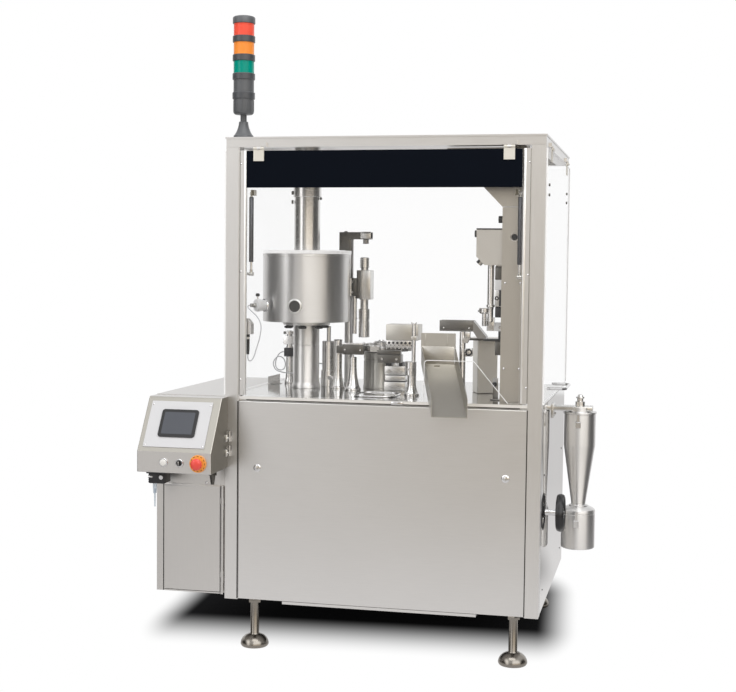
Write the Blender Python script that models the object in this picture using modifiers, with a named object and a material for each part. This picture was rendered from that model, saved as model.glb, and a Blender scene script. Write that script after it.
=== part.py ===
# Capsule filling machine: a stainless cabinet on four levelling feet that carries a
# polished worktop with the filling stations, clear guards hung from a roof, an electrics
# cabinet with an operator console, a signal tower and a dust cyclone.
# Units are metres. X runs to the right, Y runs from the front to the back, Z is up.
# Sizes are given from the machine's own datum: the middle of the front at floor level.

from math import atan2, cos, degrees, hypot, pi, radians, sin

import bmesh
import bpy
from mathutils import Matrix, Vector

# Overall sizes
WIDTH = 1.100
DEPTH = 0.965
CABINET_BOTTOM = 0.180
PANEL_TOP = 0.8786
WORKTOP_TOP = 0.896
WORKTOP_THICK = 0.010
WORKTOP_DEPTH = 0.830
ROOF_TOP = 1.791
ROOF_HEIGHT = 0.035
SEAT_GAP = 0.0003
RUN_GAP = 0.0010

# Frame and cabinet
POST_WIDTH = 0.048
POST_DEPTH = 0.050
POST_GROOVE = 0.0025
STRIP_WIDTH = 0.025
STRIP_THICK = 0.010
CABINET_WALL = 0.003
CABINET_SETBACK = 0.020
FRONT_OPENING_LOW = 0.240
FRONT_OPENING_HIGH = 0.820
SIDE_PANEL_THICK = 0.0025
FRONT_PANEL_THICK = 0.017
FRONT_PANEL_FACE = 0.002
PANEL_LIP_DROP = 0.008

# Feet
FOOT_INSET = 0.070
FOOT_DISC_RADIUS = 0.050
FOOT_DISC_HEIGHT = 0.016
FOOT_LEG_RADIUS = 0.0155

# Roof
ROOF_SHEET = 0.006
ROOF_BEAM = 0.045
ROOF_OVERHANG = 0.003

# Guards: clear sheets hung on hinges under the edge of the roof
GUARD_SHEET = 0.005
GUARD_DROP = 0.011
GUARD_BOTTOM = 0.900
GUARD_CLEAR = 0.001
HINGE_OUT = 0.012
HINGE_PIN_RADIUS = 0.0045
HINGE_LEAF_WIDTH = 0.037
HINGE_LEAF_DROP = 0.043
HINGE_LEAF_THICK = 0.0035
HINGE_BLOCK_WIDTH = 0.052
HINGE_BLOCK_HEIGHT = 0.014
SIDE_HINGE_Y = (0.130, 0.780)
HEADER_HEIGHT = 0.126
HEADER_THICK = 0.003
CUTOUT_CORNER = 0.012
HANDLE_Y = (0.110, 0.300)
HANDLE_Z = 0.945
HANDLE_REACH = 0.062
HANDLE_ROD = 0.005

# Gas springs of the front guard
SPRING_Y = 0.022
SPRING_DROP = 0.158
SPRING_REACH = 0.277
SPRING_TUBE_RADIUS = 0.0078
SPRING_ROD_RADIUS = 0.0040
SPRING_TUBE_LENGTH = 0.225
SPRING_EYE_RADIUS = 0.0065
SPRING_EYE_THICK = 0.0080
SPRING_BALL_THICK = 0.0170

# Electrics cabinet on the left
ELECTRICS_WIDTH = 0.253
ELECTRICS_DEPTH = 0.775
ELECTRICS_BOTTOM = 0.195
ELECTRICS_DOOR_TOP = 0.575
ELECTRICS_DOOR_THICK = 0.018
ELECTRICS_DOOR_MARGIN = 0.0275
ELECTRICS_HINGE_IN = 0.0063
ELECTRICS_HINGE_Y = -0.004

# Operator console
CONSOLE_WIDTH = 0.266
CONSOLE_TOP = 0.893
CONSOLE_TOP_REACH = 0.070
CONSOLE_SLANT_TOP = 0.886
CONSOLE_SLANT_LOW = 0.716
CONSOLE_REACH = 0.180
CONSOLE_BOTTOM = 0.644
CONSOLE_HINGE_Y = -0.012
CONSOLE_HINGE_Z = (0.705, 0.755)
CONSOLE_BARREL_RADIUS = 0.0050
CONSOLE_BARREL_LENGTH = 0.018
PLATE_THICK = 0.002
BUTTON_Z = 0.680
START_IN = 0.0965
SELECTOR_IN = 0.1535
ESTOP_IN = 0.2200
ESTOP_HEIGHT = 0.030

# Signal tower
TOWER_IN = 0.042
TOWER_Y = 0.060
TOWER_RADIUS = 0.0355
TOWER_RING_RADIUS = 0.0390
LENS_HEIGHT = 0.0418
LENS_RING_HEIGHT = 0.0220
LENS_PLUG_HEIGHT = 0.0100

# Powder hopper and its column
HOPPER_X = -0.370
HOPPER_Y = 0.407
HOPPER_RADIUS = 0.163
HOPPER_WALL = 0.002
HOPPER_BOTTOM = 1.144
HOPPER_HEIGHT = 0.251
HOPPER_COLUMN_RADIUS = 0.0485
HOPPER_LID_THICK = 0.012
SIGHT_UP = 0.060
SIGHT_RADIUS = 0.026
SENSOR_UP = 0.061
SENSOR_ANGLE = radians(225.0)

# Indexing turret
TURRET_X = -0.100
TURRET_Y = 0.490
TURRET_STATIONS = 12
TURRET_TABLE_RADIUS = 0.092
TURRET_TABLE_Z = 1.036
TURRET_TABLE_THICK = 0.014
TURRET_REACH = 0.118
TURRET_DRUM_RADIUS = 0.066
BUSHING_RADIUS = 0.0042
BUSHING_CIRCLE = 0.104

# Dosing station
DOSING_COLUMN_X = -0.242
DOSING_COLUMN_Y = 0.553
DOSING_COLUMN_RADIUS = 0.0165
DOSING_HEAD_X = -0.178
DOSING_HEAD_Y = 0.535
DOSING_ARM_UP = 0.058
DOSING_ARM_THICK = 0.027

# Discharge chute
CHUTE_WIDTH = 0.121
CHUTE_WALL = 0.002
CHUTE_HIGH_X = 0.166
CHUTE_HIGH_Y = 0.200
CHUTE_HIGH_Z = 1.012
CHUTE_LOW_X = 0.2565
CHUTE_LOW_Y = -0.100
CHUTE_LOW_Z = 0.857
CHUTE_SIDE = 0.062
CHUTE_BACK_TOP = 1.120

# Capsule feeder on the right
DUCT_LEFT = 0.398
DUCT_RIGHT = 0.474
DUCT_FRONT = 0.090
DUCT_DEPTH = 0.140
FEEDER_LEFT = 0.308
FEEDER_LOW = 1.360
FEEDER_HIGH = 1.483
FEEDER_ROD_X = 0.3535
FEEDER_ROD_RADIUS = 0.0115
PEDESTAL_X = 0.303
PEDESTAL_Y = 0.415
PEDESTAL_TOP = 1.090

# Dust cyclone and handwheel on the right side
CYCLONE_OUT = 0.100
CYCLONE_Y = 0.400
CYCLONE_RADIUS = 0.056
CYCLONE_TOP = 0.840
CYCLONE_SHOULDER = 0.720
CYCLONE_NECK_Z = 0.500
CYCLONE_NECK_RADIUS = 0.025
POT_RADIUS = 0.060
POT_BOTTOM = 0.349
WHEEL_OUT = 0.050
WHEEL_Y = 0.235
WHEEL_Z = 0.500
WHEEL_RADIUS = 0.066

# Places worked out from the sizes above
POST_INNER = WIDTH / 2 - POST_WIDTH
ROOF_UNDERSIDE = ROOF_TOP - ROOF_HEIGHT
GUARD_TOP = ROOF_UNDERSIDE - GUARD_DROP
HINGE_Z = GUARD_TOP + 0.0055
HEADER_HIGH = GUARD_TOP - 0.002
HEADER_LOW = HEADER_HIGH - HEADER_HEIGHT
SPRING_TOP_Z = ROOF_UNDERSIDE - SPRING_DROP
SPRING_LOW_Z = SPRING_TOP_Z - SPRING_REACH
DUCT_FLARE_Z = ROOF_UNDERSIDE - 0.200
WORKTOP_BOTTOM = WORKTOP_TOP - WORKTOP_THICK
CABINET_TOP = WORKTOP_BOTTOM - SEAT_GAP
DECK_SEAT = WORKTOP_TOP + SEAT_GAP
SIDE_PANEL_IN = WIDTH / 2 - SIDE_PANEL_THICK
FOOT_X = WIDTH / 2 - 0.090
FRONT_OPENING_HALF = POST_INNER - 0.102
PANEL_LIP_HALF = POST_INNER - 0.162
GUARD_HALF = POST_INNER - 0.028
FRONT_HINGE_X = GUARD_HALF - 0.044
SPRING_X = POST_INNER - 0.0365
ELECTRICS_LEFT = -WIDTH / 2 - ELECTRICS_WIDTH
ELECTRICS_DOOR_LEFT = ELECTRICS_LEFT + ELECTRICS_DOOR_MARGIN
ELECTRICS_HINGE_X = -WIDTH / 2 - ELECTRICS_HINGE_IN
CONSOLE_RIGHT = -WIDTH / 2 + 0.011
CONSOLE_LEFT = CONSOLE_RIGHT - CONSOLE_WIDTH
CONSOLE_HINGE_X = CONSOLE_RIGHT + 0.009
START_X = CONSOLE_LEFT + START_IN
SELECTOR_X = CONSOLE_LEFT + SELECTOR_IN
ESTOP_X = CONSOLE_LEFT + ESTOP_IN
TOWER_X = -WIDTH / 2 + TOWER_IN
HOPPER_TOP = HOPPER_BOTTOM + HOPPER_HEIGHT
SIGHT_Z = HOPPER_BOTTOM + SIGHT_UP
DOSING_ARM_LOW = HOPPER_TOP + DOSING_ARM_UP
DOSING_ARM_TOP = DOSING_ARM_LOW + DOSING_ARM_THICK
SENSOR_Z = HOPPER_BOTTOM + SENSOR_UP
CYCLONE_X = WIDTH / 2 + CYCLONE_OUT
WHEEL_X = WIDTH / 2 + WHEEL_OUT
POT_TOP = CYCLONE_NECK_Z - SEAT_GAP
HALF = 0.5

# The stations left of the turret and the turret keep their distance from the left post, and
# the others keep theirs from the right post, when the width changes.
STATION_HALF = 0.502
LEFT_SHIFT = STATION_HALF - POST_INNER
RIGHT_SHIFT = POST_INNER - STATION_HALF
TURRET_AXIS_X = TURRET_X + LEFT_SHIFT

# The guard's cut-out is set out from the chute where it passes through.
CHUTE_THROUGH = CHUTE_LOW_Y / (CHUTE_LOW_Y - CHUTE_HIGH_Y)
CHUTE_AT_GUARD_X = CHUTE_LOW_X + (CHUTE_HIGH_X - CHUTE_LOW_X) * CHUTE_THROUGH + RIGHT_SHIFT
CHUTE_AT_GUARD_Z = CHUTE_LOW_Z + (CHUTE_HIGH_Z - CHUTE_LOW_Z) * CHUTE_THROUGH
CUTOUT_LEFT = CHUTE_AT_GUARD_X - CHUTE_WIDTH / 2 - 0.012
CUTOUT_TOP = CHUTE_AT_GUARD_Z + CHUTE_SIDE + 0.0673
CUTOUT_TOP_RIGHT = CHUTE_AT_GUARD_X + CHUTE_WIDTH / 2 + 0.035
CUTOUT_RIGHT = CUTOUT_TOP_RIGHT + 0.116

# The origin of the whole part is the middle of its floor area: from the console to the
# cyclone's pot across, and from the console's front to the back of the roof.
LEFT_END = CONSOLE_LEFT
RIGHT_END = CYCLONE_X + POT_RADIUS
FRONT_END = -CONSOLE_REACH - ESTOP_HEIGHT
BACK_END = DEPTH + HINGE_OUT + HINGE_PIN_RADIUS
DATUM = Vector((-(LEFT_END + RIGHT_END) / 2, -(FRONT_END + BACK_END) / 2, 0.0))

for old in list(bpy.data.objects):
    bpy.data.objects.remove(old)

scene_root = bpy.context.scene.collection
parts = bpy.data.collections.new("capsule_filler")
cutters = bpy.data.collections.new("cutters")
scene_root.children.link(parts)
scene_root.children.link(cutters)
datum = bpy.data.objects.new("machine_datum", None)
datum.location = DATUM
parts.objects.link(datum)
left_stations = bpy.data.objects.new("left_stations", None)
right_stations = bpy.data.objects.new("right_stations", None)
for stations, shift in ((left_stations, LEFT_SHIFT), (right_stations, RIGHT_SHIFT)):
    stations.location = (shift, 0.0, 0.0)
    stations.parent = datum
    parts.objects.link(stations)
carriers = [datum]


# Materials

def finish(name, colour, roughness, metallic, alpha=1.0):
    """A Principled material with one colour."""
    material = bpy.data.materials.new(name)
    material.use_nodes = True
    shader = material.node_tree.nodes["Principled BSDF"]
    shader.inputs["Base Color"].default_value = (*colour, 1.0)
    shader.inputs["Roughness"].default_value = roughness
    shader.inputs["Metallic"].default_value = metallic
    shader.inputs["Alpha"].default_value = alpha
    return material


SATIN = ("satin_stainless", (0.47, 0.45, 0.42), 0.38, 1.0)
POLISHED = ("polished_stainless", (0.62, 0.61, 0.59), 0.10, 1.0)
CHROME = ("chrome", (0.75, 0.75, 0.76), 0.06, 1.0)
CLEAR = ("clear_acrylic", (0.90, 0.93, 0.95), 0.05, 0.0, 0.25)
DARK = ("dark_plastic", (0.05, 0.05, 0.055), 0.45, 0.0)
BLACK = ("black_plastic", (0.02, 0.02, 0.02), 0.35, 0.0)
NAVY = ("header_enamel", (0.012, 0.020, 0.032), 0.40, 0.0)
WHITE = ("white_plastic", (0.80, 0.80, 0.78), 0.40, 0.0)
RED_LENS = ("red_lens", (0.75, 0.04, 0.03), 0.20, 0.0)
ORANGE_LENS = ("orange_lens", (0.90, 0.33, 0.02), 0.20, 0.0)
GREEN_LENS = ("green_lens", (0.01, 0.32, 0.20), 0.20, 0.0)
RED = ("red_button", (0.75, 0.05, 0.04), 0.35, 0.0)
GREY_GLASS = ("screen_glass", (0.20, 0.21, 0.21), 0.15, 0.0)
CABLE_GREY = ("cable_grey", (0.35, 0.36, 0.38), 0.45, 0.0)


# Making and placing

def beside(stations, *makers):
    """Build stations that keep their distance from one post."""
    carriers.append(stations)
    for make in makers:
        make()
    carriers.pop()


def to_scene(name, mesh, group, origin=(0.0, 0.0, 0.0)):
    """Put a mesh in the scene at its own origin, measured from what carries it."""
    piece = bpy.data.objects.new(name, mesh)
    group.objects.link(piece)
    piece.parent = carriers[-1]
    piece.location = Vector(origin)
    if group is cutters:
        piece.hide_render = True
        piece.display_type = "WIRE"
    return piece


def from_bmesh(name, shape, group, origin=(0.0, 0.0, 0.0)):
    """Turn a bmesh whose points are machine places into an object at origin."""
    bmesh.ops.translate(shape, verts=shape.verts, vec=-Vector(origin))
    mesh = bpy.data.meshes.new(name)
    shape.to_mesh(mesh)
    shape.free()
    return to_scene(name, mesh, group, origin)


def paint(piece, look):
    """Give a piece its own material."""
    piece.data.materials.clear()
    piece.data.materials.append(finish(piece.name + "_" + look[0], *look[1:]))
    return piece


def block(name, low, high, group=cutters, origin=(0.0, 0.0, 0.0)):
    """A box between two corners."""
    low = Vector(low)
    high = Vector(high)
    shape = bmesh.new()
    bmesh.ops.create_cube(shape, size=1.0)
    bmesh.ops.scale(shape, verts=shape.verts, vec=high - low)
    bmesh.ops.translate(shape, verts=shape.verts, vec=(low + high) / 2)
    return from_bmesh(name, shape, group, origin)


def rod(name, start, end, radius, group=cutters, origin=(0.0, 0.0, 0.0), sides=20, end_radius=None):
    """A round bar or cone between two points."""
    start = Vector(start)
    end = Vector(end)
    run = end - start
    shape = bmesh.new()
    bmesh.ops.create_cone(
        shape, cap_ends=True, segments=sides, depth=run.length,
        radius1=radius, radius2=radius if end_radius is None else end_radius)
    turn = Vector((0.0, 0.0, 1.0)).rotation_difference(run).to_matrix().to_4x4()
    bmesh.ops.transform(shape, verts=shape.verts, matrix=Matrix.Translation((start + end) / 2) @ turn)
    piece = from_bmesh(name, shape, group, origin)
    piece.data.shade_smooth()
    piece.data.set_sharp_from_angle(angle=radians(35.0))
    return piece


def turned(name, profile, centre, group=parts, steps=28, axis="Z", closed=False):
    """A turned piece: a profile of radius and height, down its outer side, screwed round."""
    shape = bmesh.new()
    points = [shape.verts.new((radius, 0.0, height)) for radius, height in profile]
    for first, second in zip(points, points[1:]):
        shape.edges.new((first, second))
    if closed:
        shape.edges.new((points[-1], points[0]))
    mesh = bpy.data.meshes.new(name)
    shape.to_mesh(mesh)
    shape.free()
    piece = to_scene(name, mesh, group, centre)
    if axis == "X":
        piece.rotation_euler = (0.0, pi / 2, 0.0)
    if axis == "Y":
        piece.rotation_euler = (pi / 2, 0.0, 0.0)
    screw = piece.modifiers.new("turn", "SCREW")
    screw.axis = "Z"
    screw.steps = steps
    screw.render_steps = steps
    screw.use_merge_vertices = True
    screw.merge_threshold = 0.00001
    screw.use_smooth_shade = True
    return piece


def outline_plate(name, points, low, high, plane, group=cutters, origin=(0.0, 0.0, 0.0)):
    """A flat outline given thickness. plane names the two directions the points run in."""
    flat = bpy.data.curves.new(name, "CURVE")
    flat.dimensions = "2D"
    flat.fill_mode = "BOTH"
    flat.extrude = (high - low) / 2
    line = flat.splines.new("POLY")
    line.points.add(len(points) - 1)
    for spot, (u, v) in zip(line.points, points):
        spot.co = (u, v, 0.0, 1.0)
    line.use_cyclic_u = True
    sketch = bpy.data.objects.new(name + "_sketch", flat)
    cutters.objects.link(sketch)
    middle = (low + high) / 2
    frames = {
        "XY": Matrix(((1, 0, 0, 0), (0, 1, 0, 0), (0, 0, 1, middle), (0, 0, 0, 1))),
        "XZ": Matrix(((1, 0, 0, 0), (0, 0, -1, middle), (0, 1, 0, 0), (0, 0, 0, 1))),
        "YZ": Matrix(((0, 0, 1, middle), (1, 0, 0, 0), (0, 1, 0, 0), (0, 0, 0, 1))),
    }
    sketch.matrix_world = frames[plane]
    return curve_to_piece(name, sketch, group, origin)


def curve_to_piece(name, sketch, group, origin=(0.0, 0.0, 0.0)):
    """Weld a curve's mesh shut and place it as a piece."""
    bpy.context.view_layer.update()
    graph = bpy.context.evaluated_depsgraph_get()
    mesh = bpy.data.meshes.new_from_object(sketch.evaluated_get(graph))
    shape = bmesh.new()
    shape.from_mesh(mesh)
    bmesh.ops.transform(shape, verts=shape.verts, matrix=sketch.matrix_world)
    bmesh.ops.remove_doubles(shape, verts=shape.verts, dist=0.00001)
    bmesh.ops.recalc_face_normals(shape, faces=shape.faces)
    bpy.data.meshes.remove(mesh)
    bpy.data.objects.remove(sketch)
    return from_bmesh(name, shape, group, origin)


def bent_rod(name, points, radius, group=cutters, origin=(0.0, 0.0, 0.0), sides=2, closed=False):
    """A round rod along straight runs between points."""
    path = bpy.data.curves.new(name, "CURVE")
    path.dimensions = "3D"
    path.bevel_depth = radius
    path.bevel_resolution = sides
    path.use_fill_caps = True
    line = path.splines.new("POLY")
    line.points.add(len(points) - 1)
    for spot, place in zip(line.points, points):
        spot.co = (*place, 1.0)
    line.use_cyclic_u = closed
    sketch = bpy.data.objects.new(name + "_sketch", path)
    cutters.objects.link(sketch)
    return curve_to_piece(name, sketch, group, origin)


def smooth_points(points, spacing):
    """Points at an even spacing along a smooth curve through the route's own points."""
    route = [Vector(point) for point in points]
    route = [2 * route[0] - route[1]] + route + [2 * route[-1] - route[-2]]
    fine = []
    for before, here, there, after in zip(route, route[1:], route[2:], route[3:]):
        count = max(2, round((there - here).length / spacing))
        for index in range(count):
            t = index / count
            fine.append(HALF * (
                2 * here + (there - before) * t
                + (2 * before - 5 * here + 4 * there - after) * t ** 2
                + (3 * here - before - 3 * there + after) * t ** 3))
    fine.append(route[-2])
    return fine


def arc(cx, cy, radius, start, end, count):
    """Points on an arc, angles in degrees."""
    turn = [radians(start + (end - start) * index / count) for index in range(count + 1)]
    return [(cx + radius * cos(angle), cy + radius * sin(angle)) for angle in turn]


def cut(piece, tool):
    """Take one solid away from a piece."""
    step = piece.modifiers.new("cut_" + tool.name, "BOOLEAN")
    step.operation = "DIFFERENCE"
    step.object = tool
    return piece


def join(piece, tool):
    """Join one solid to a piece."""
    step = piece.modifiers.new("join_" + tool.name, "BOOLEAN")
    step.operation = "UNION"
    step.object = tool
    return piece


def soften(piece, width, segments=2, angle=40.0):
    """Round the sharp edges of a piece."""
    step = piece.modifiers.new("soft_edges", "BEVEL")
    step.width = width
    step.segments = segments
    step.limit_method = "ANGLE"
    step.angle_limit = radians(angle)
    return piece


# Cabinet, panels and feet

def make_cabinet():
    """The welded base: a box with notches for the two front posts and an open front."""
    low = (-WIDTH / 2, CABINET_SETBACK, CABINET_BOTTOM)
    high = (SIDE_PANEL_IN - SEAT_GAP, DEPTH, CABINET_TOP)
    body = paint(block("base_cabinet", low, high, parts), SATIN)
    wall = CABINET_WALL
    cut(body, block(
        "cabinet_inside",
        (low[0] + wall, low[1] + wall, low[2] + wall),
        (high[0] - wall, high[1] - wall, high[2] - wall)))
    cut(body, block(
        "cabinet_front_opening",
        (-FRONT_OPENING_HALF, 0.0, FRONT_OPENING_LOW),
        (FRONT_OPENING_HALF, CABINET_SETBACK + 2 * wall, FRONT_OPENING_HIGH)))
    for side in (-1, 1):
        inner = side * (POST_INNER - SEAT_GAP)
        outer = side * WIDTH
        cut(body, block(
            "post_notch", (min(inner, outer), -DEPTH, 0.0),
            (max(inner, outer), POST_DEPTH + SEAT_GAP, ROOF_TOP)))
    cut(body, rod(
        "turret_shaft_hole", (TURRET_AXIS_X, TURRET_Y, CABINET_TOP - 2 * wall),
        (TURRET_AXIS_X, TURRET_Y, CABINET_TOP + wall), TURRET_SHAFT_RADIUS + RUN_GAP))
    cut(body, rod(
        "handwheel_hole", (WIDTH / 2 - 4 * wall, WHEEL_Y, WHEEL_Z), (WIDTH, WHEEL_Y, WHEEL_Z),
        WHEEL_SHAFT_RADIUS + RUN_GAP))
    lip = block(
        "panel_lip", (-PANEL_LIP_HALF, FRONT_PANEL_FACE, CABINET_BOTTOM - PANEL_LIP_DROP),
        (PANEL_LIP_HALF, CABINET_SETBACK + wall, CABINET_BOTTOM + wall / 2))
    join(body, lip)
    for side in (-1, 1):
        cut(body, rod(
            "latch_hole", (side * LATCH_X, 0.0, LATCH_Z),
            (side * LATCH_X, CABINET_SETBACK + 2 * wall, LATCH_Z), LATCH_STUD_RADIUS + RUN_GAP, sides=12))


LATCH_X = POST_INNER - 0.069
LATCH_Z = 0.647
LATCH_HEAD_RADIUS = 0.013
LATCH_STUD_RADIUS = 0.0050
LATCH_STUD_LENGTH = FRONT_PANEL_THICK - 0.0015
TURRET_SHAFT_RADIUS = 0.0175
WHEEL_SHAFT_RADIUS = 0.0110


def make_front_panel():
    """The lift-off front panel, a folded tray with two quarter-turn latches."""
    bottom = CABINET_BOTTOM + CABINET_WALL
    back = FRONT_PANEL_FACE + FRONT_PANEL_THICK
    half = POST_INNER - 0.0015
    panel = paint(block("front_panel", (-half, FRONT_PANEL_FACE, bottom), (half, back, PANEL_TOP), parts), SATIN)
    wall = 0.002
    rim = 0.016
    cut(panel, block(
        "panel_hollow", (-half + wall, FRONT_PANEL_FACE + wall, bottom + wall),
        (half - wall, back - wall, PANEL_TOP - wall)))
    cut(panel, block(
        "panel_back_opening", (-half + rim, back - 2 * wall, bottom + rim),
        (half - rim, back + wall, PANEL_TOP - rim)))
    for side in (-1, 1):
        name = "latch_left" if side < 0 else "latch_right"
        centre = (side * LATCH_X, FRONT_PANEL_FACE, LATCH_Z)
        cut(panel, rod(
            name + "_bore", (centre[0], 0.0, LATCH_Z), (centre[0], back + wall, LATCH_Z),
            LATCH_STUD_RADIUS + SEAT_GAP, sides=16))
        latch = turned(name, [
            (0.0, 0.0060), (LATCH_HEAD_RADIUS * 0.7, 0.0060), (LATCH_HEAD_RADIUS, 0.0040),
            (LATCH_HEAD_RADIUS, SEAT_GAP), (LATCH_STUD_RADIUS, SEAT_GAP),
            (LATCH_STUD_RADIUS, -LATCH_STUD_LENGTH), (0.0, -LATCH_STUD_LENGTH)], centre, steps=14, axis="Y")
        paint(latch, CHROME)
        join(latch, block(
            name + "_wing", (centre[0] - 0.0025, FRONT_PANEL_FACE - 0.0130, LATCH_Z - 0.0095),
            (centre[0] + 0.0025, FRONT_PANEL_FACE - 0.0050, LATCH_Z + 0.0095)))


def make_side_panel():
    """The polished right side panel."""
    panel = block(
        "right_side_panel", (SIDE_PANEL_IN, POST_DEPTH + 2 * SEAT_GAP, CABINET_BOTTOM + CABINET_WALL),
        (WIDTH / 2, DEPTH - CABINET_WALL, CABINET_TOP), parts)
    paint(panel, POLISHED)
    cut(panel, rod(
        "wheel_boss_hole", (SIDE_PANEL_IN - CABINET_WALL, WHEEL_Y, WHEEL_Z), (WIDTH, WHEEL_Y, WHEEL_Z),
        WHEEL_SHAFT_RADIUS + RUN_GAP))


def make_feet():
    """Four levelling feet: a chromed leg on a round pad."""
    for side, across in (("left", -FOOT_X), ("right", FOOT_X)):
        for end, along in (("front", FOOT_INSET), ("rear", DEPTH - FOOT_INSET)):
            top = CABINET_BOTTOM - SEAT_GAP
            profile = [
                (0.0, top), (0.026, top), (0.026, top - 0.008), (FOOT_LEG_RADIUS, top - 0.008),
                (FOOT_LEG_RADIUS, 0.045), (0.020, 0.036), (0.026, FOOT_DISC_HEIGHT + 0.006),
                (FOOT_DISC_RADIUS - 0.006, FOOT_DISC_HEIGHT), (FOOT_DISC_RADIUS, FOOT_DISC_HEIGHT - 0.005),
                (FOOT_DISC_RADIUS, 0.0), (0.0, 0.0)]
            foot = turned("foot_" + end + "_" + side, profile, (across, along, 0.0), steps=16)
            paint(foot, CHROME)


def make_worktop():
    """The polished plate that the stations stand on, notched round the front posts."""
    outer = WIDTH / 2 - 0.0015
    plate = paint(block(
        "worktop", (-outer, 0.004, WORKTOP_BOTTOM), (outer, WORKTOP_DEPTH, WORKTOP_TOP), parts), POLISHED)
    for side in (-1, 1):
        inner = side * (POST_INNER - SEAT_GAP)
        cut(plate, block(
            "worktop_notch", (min(inner, side), -DEPTH, 0.0), (max(inner, side), POST_DEPTH + SEAT_GAP, ROOF_TOP)))
    cut(plate, rod(
        "worktop_shaft_hole", (TURRET_AXIS_X, TURRET_Y, CABINET_TOP - 0.01),
        (TURRET_AXIS_X, TURRET_Y, WORKTOP_TOP + 0.01), TURRET_SHAFT_RADIUS + RUN_GAP))


# Posts and roof

def make_posts():
    """Two front posts from the cabinet's bottom to the roof, each with a rebate strip."""
    top = ROOF_UNDERSIDE - SEAT_GAP
    for side, name in ((-1, "post_left"), (1, "post_right")):
        inner = side * POST_INNER
        outer = side * WIDTH / 2
        post = paint(block(
            name, (min(inner, outer), 0.0, CABINET_BOTTOM), (max(inner, outer), POST_DEPTH, top), parts), SATIN)
        strip_in = side * (POST_INNER - STRIP_WIDTH)
        strip_out = side * (POST_INNER + 0.004)
        join(post, block(
            name + "_strip", (min(strip_in, strip_out), 0.0015, WORKTOP_TOP + 0.004),
            (max(strip_in, strip_out), STRIP_THICK, GUARD_TOP)))
        groove = side * (POST_INNER + 0.0015)
        cut(post, block(
            name + "_groove", (groove - 0.0015, -POST_GROOVE, CABINET_BOTTOM - 0.01),
            (groove + 0.0015, POST_GROOVE, top + 0.01)))
        stud_in = side * (SPRING_X + SPRING_BALL_THICK / 2 + SEAT_GAP)
        join(post, rod(
            name + "_ball_stud", (outer - side * 0.01, SPRING_Y, SPRING_LOW_Z), (stud_in, SPRING_Y, SPRING_LOW_Z),
            0.0045, sides=12))
    left = bpy.data.objects["post_left"]
    add_sensor_box(left)
    add_console_knuckles(left)


def add_sensor_box(post):
    """The small junction box on the left post's inner side, with a gland and plug below."""
    inner = -POST_INNER - 0.002
    outer = -POST_INNER + 0.039
    outline = [(inner, 1.111), (outer, 1.111), (outer, 1.148), (outer - 0.015, 1.166), (inner, 1.166)]
    join(post, outline_plate("sensor_box", outline, 0.0160, 0.0480, "XZ"))
    join(post, rod("sensor_box_gland", (SENSOR_PLUG_X, SENSOR_PLUG_Y, 1.115), (SENSOR_PLUG_X, SENSOR_PLUG_Y, 1.094),
                   0.0065, sides=12))
    join(post, rod("sensor_box_plug", (SENSOR_PLUG_X, SENSOR_PLUG_Y, 1.098), (SENSOR_PLUG_X, SENSOR_PLUG_Y, SENSOR_PLUG_LOW),
                   0.0048, sides=12, end_radius=0.0032))


SENSOR_PLUG_X = -POST_INNER + 0.023
SENSOR_PLUG_Y = 0.032
SENSOR_PLUG_LOW = 1.040


def add_console_knuckles(post):
    """The fixed halves of the console's two hinges, on the left post's face."""
    for height in CONSOLE_HINGE_Z:
        join(post, rod(
            "console_fixed_barrel", (CONSOLE_HINGE_X, CONSOLE_HINGE_Y, height - CONSOLE_BARREL_LENGTH),
            (CONSOLE_HINGE_X, CONSOLE_HINGE_Y, height - SEAT_GAP), CONSOLE_BARREL_RADIUS, sides=12))
        join(post, block(
            "console_fixed_leaf", (CONSOLE_HINGE_X - 0.0025, CONSOLE_HINGE_Y, height - CONSOLE_BARREL_LENGTH),
            (CONSOLE_HINGE_X + 0.0025, 0.003, height - SEAT_GAP)))


def make_roof():
    """The roof: a flat sheet over a ring of beams, with the fixed halves of the guard hinges."""
    over = ROOF_OVERHANG
    roof = paint(block(
        "roof", (-WIDTH / 2 - over, -over, ROOF_TOP - ROOF_SHEET), (WIDTH / 2 + over, DEPTH + over, ROOF_TOP),
        parts), POLISHED)
    ring = block("roof_ring", (-WIDTH / 2, 0.0, ROOF_UNDERSIDE), (WIDTH / 2, DEPTH, ROOF_TOP - ROOF_SHEET / 2))
    cut(ring, block(
        "roof_ring_inside", (-WIDTH / 2 + ROOF_BEAM, ROOF_BEAM, ROOF_UNDERSIDE - ROOF_SHEET),
        (WIDTH / 2 - ROOF_BEAM, DEPTH - ROOF_BEAM, ROOF_TOP - ROOF_SHEET)))
    join(roof, ring)
    for place, outward, along in hinge_places():
        add_fixed_hinge(roof, place, outward, along)


def hinge_places():
    """The middle of each guard hinge's pin, the way it faces and the way its pin runs."""
    spots = []
    for across in (-FRONT_HINGE_X, FRONT_HINGE_X):
        spots.append((Vector((across, -HINGE_OUT, HINGE_Z)), Vector((0, -1, 0)), Vector((1, 0, 0))))
        spots.append((Vector((across, DEPTH + HINGE_OUT, HINGE_Z)), Vector((0, 1, 0)), Vector((1, 0, 0))))
    for along in SIDE_HINGE_Y:
        spots.append((Vector((WIDTH / 2 + HINGE_OUT, along, HINGE_Z)), Vector((1, 0, 0)), Vector((0, 1, 0))))
        spots.append((Vector((-WIDTH / 2 - HINGE_OUT, along, HINGE_Z)), Vector((-1, 0, 0)), Vector((0, 1, 0))))
    return spots


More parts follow.
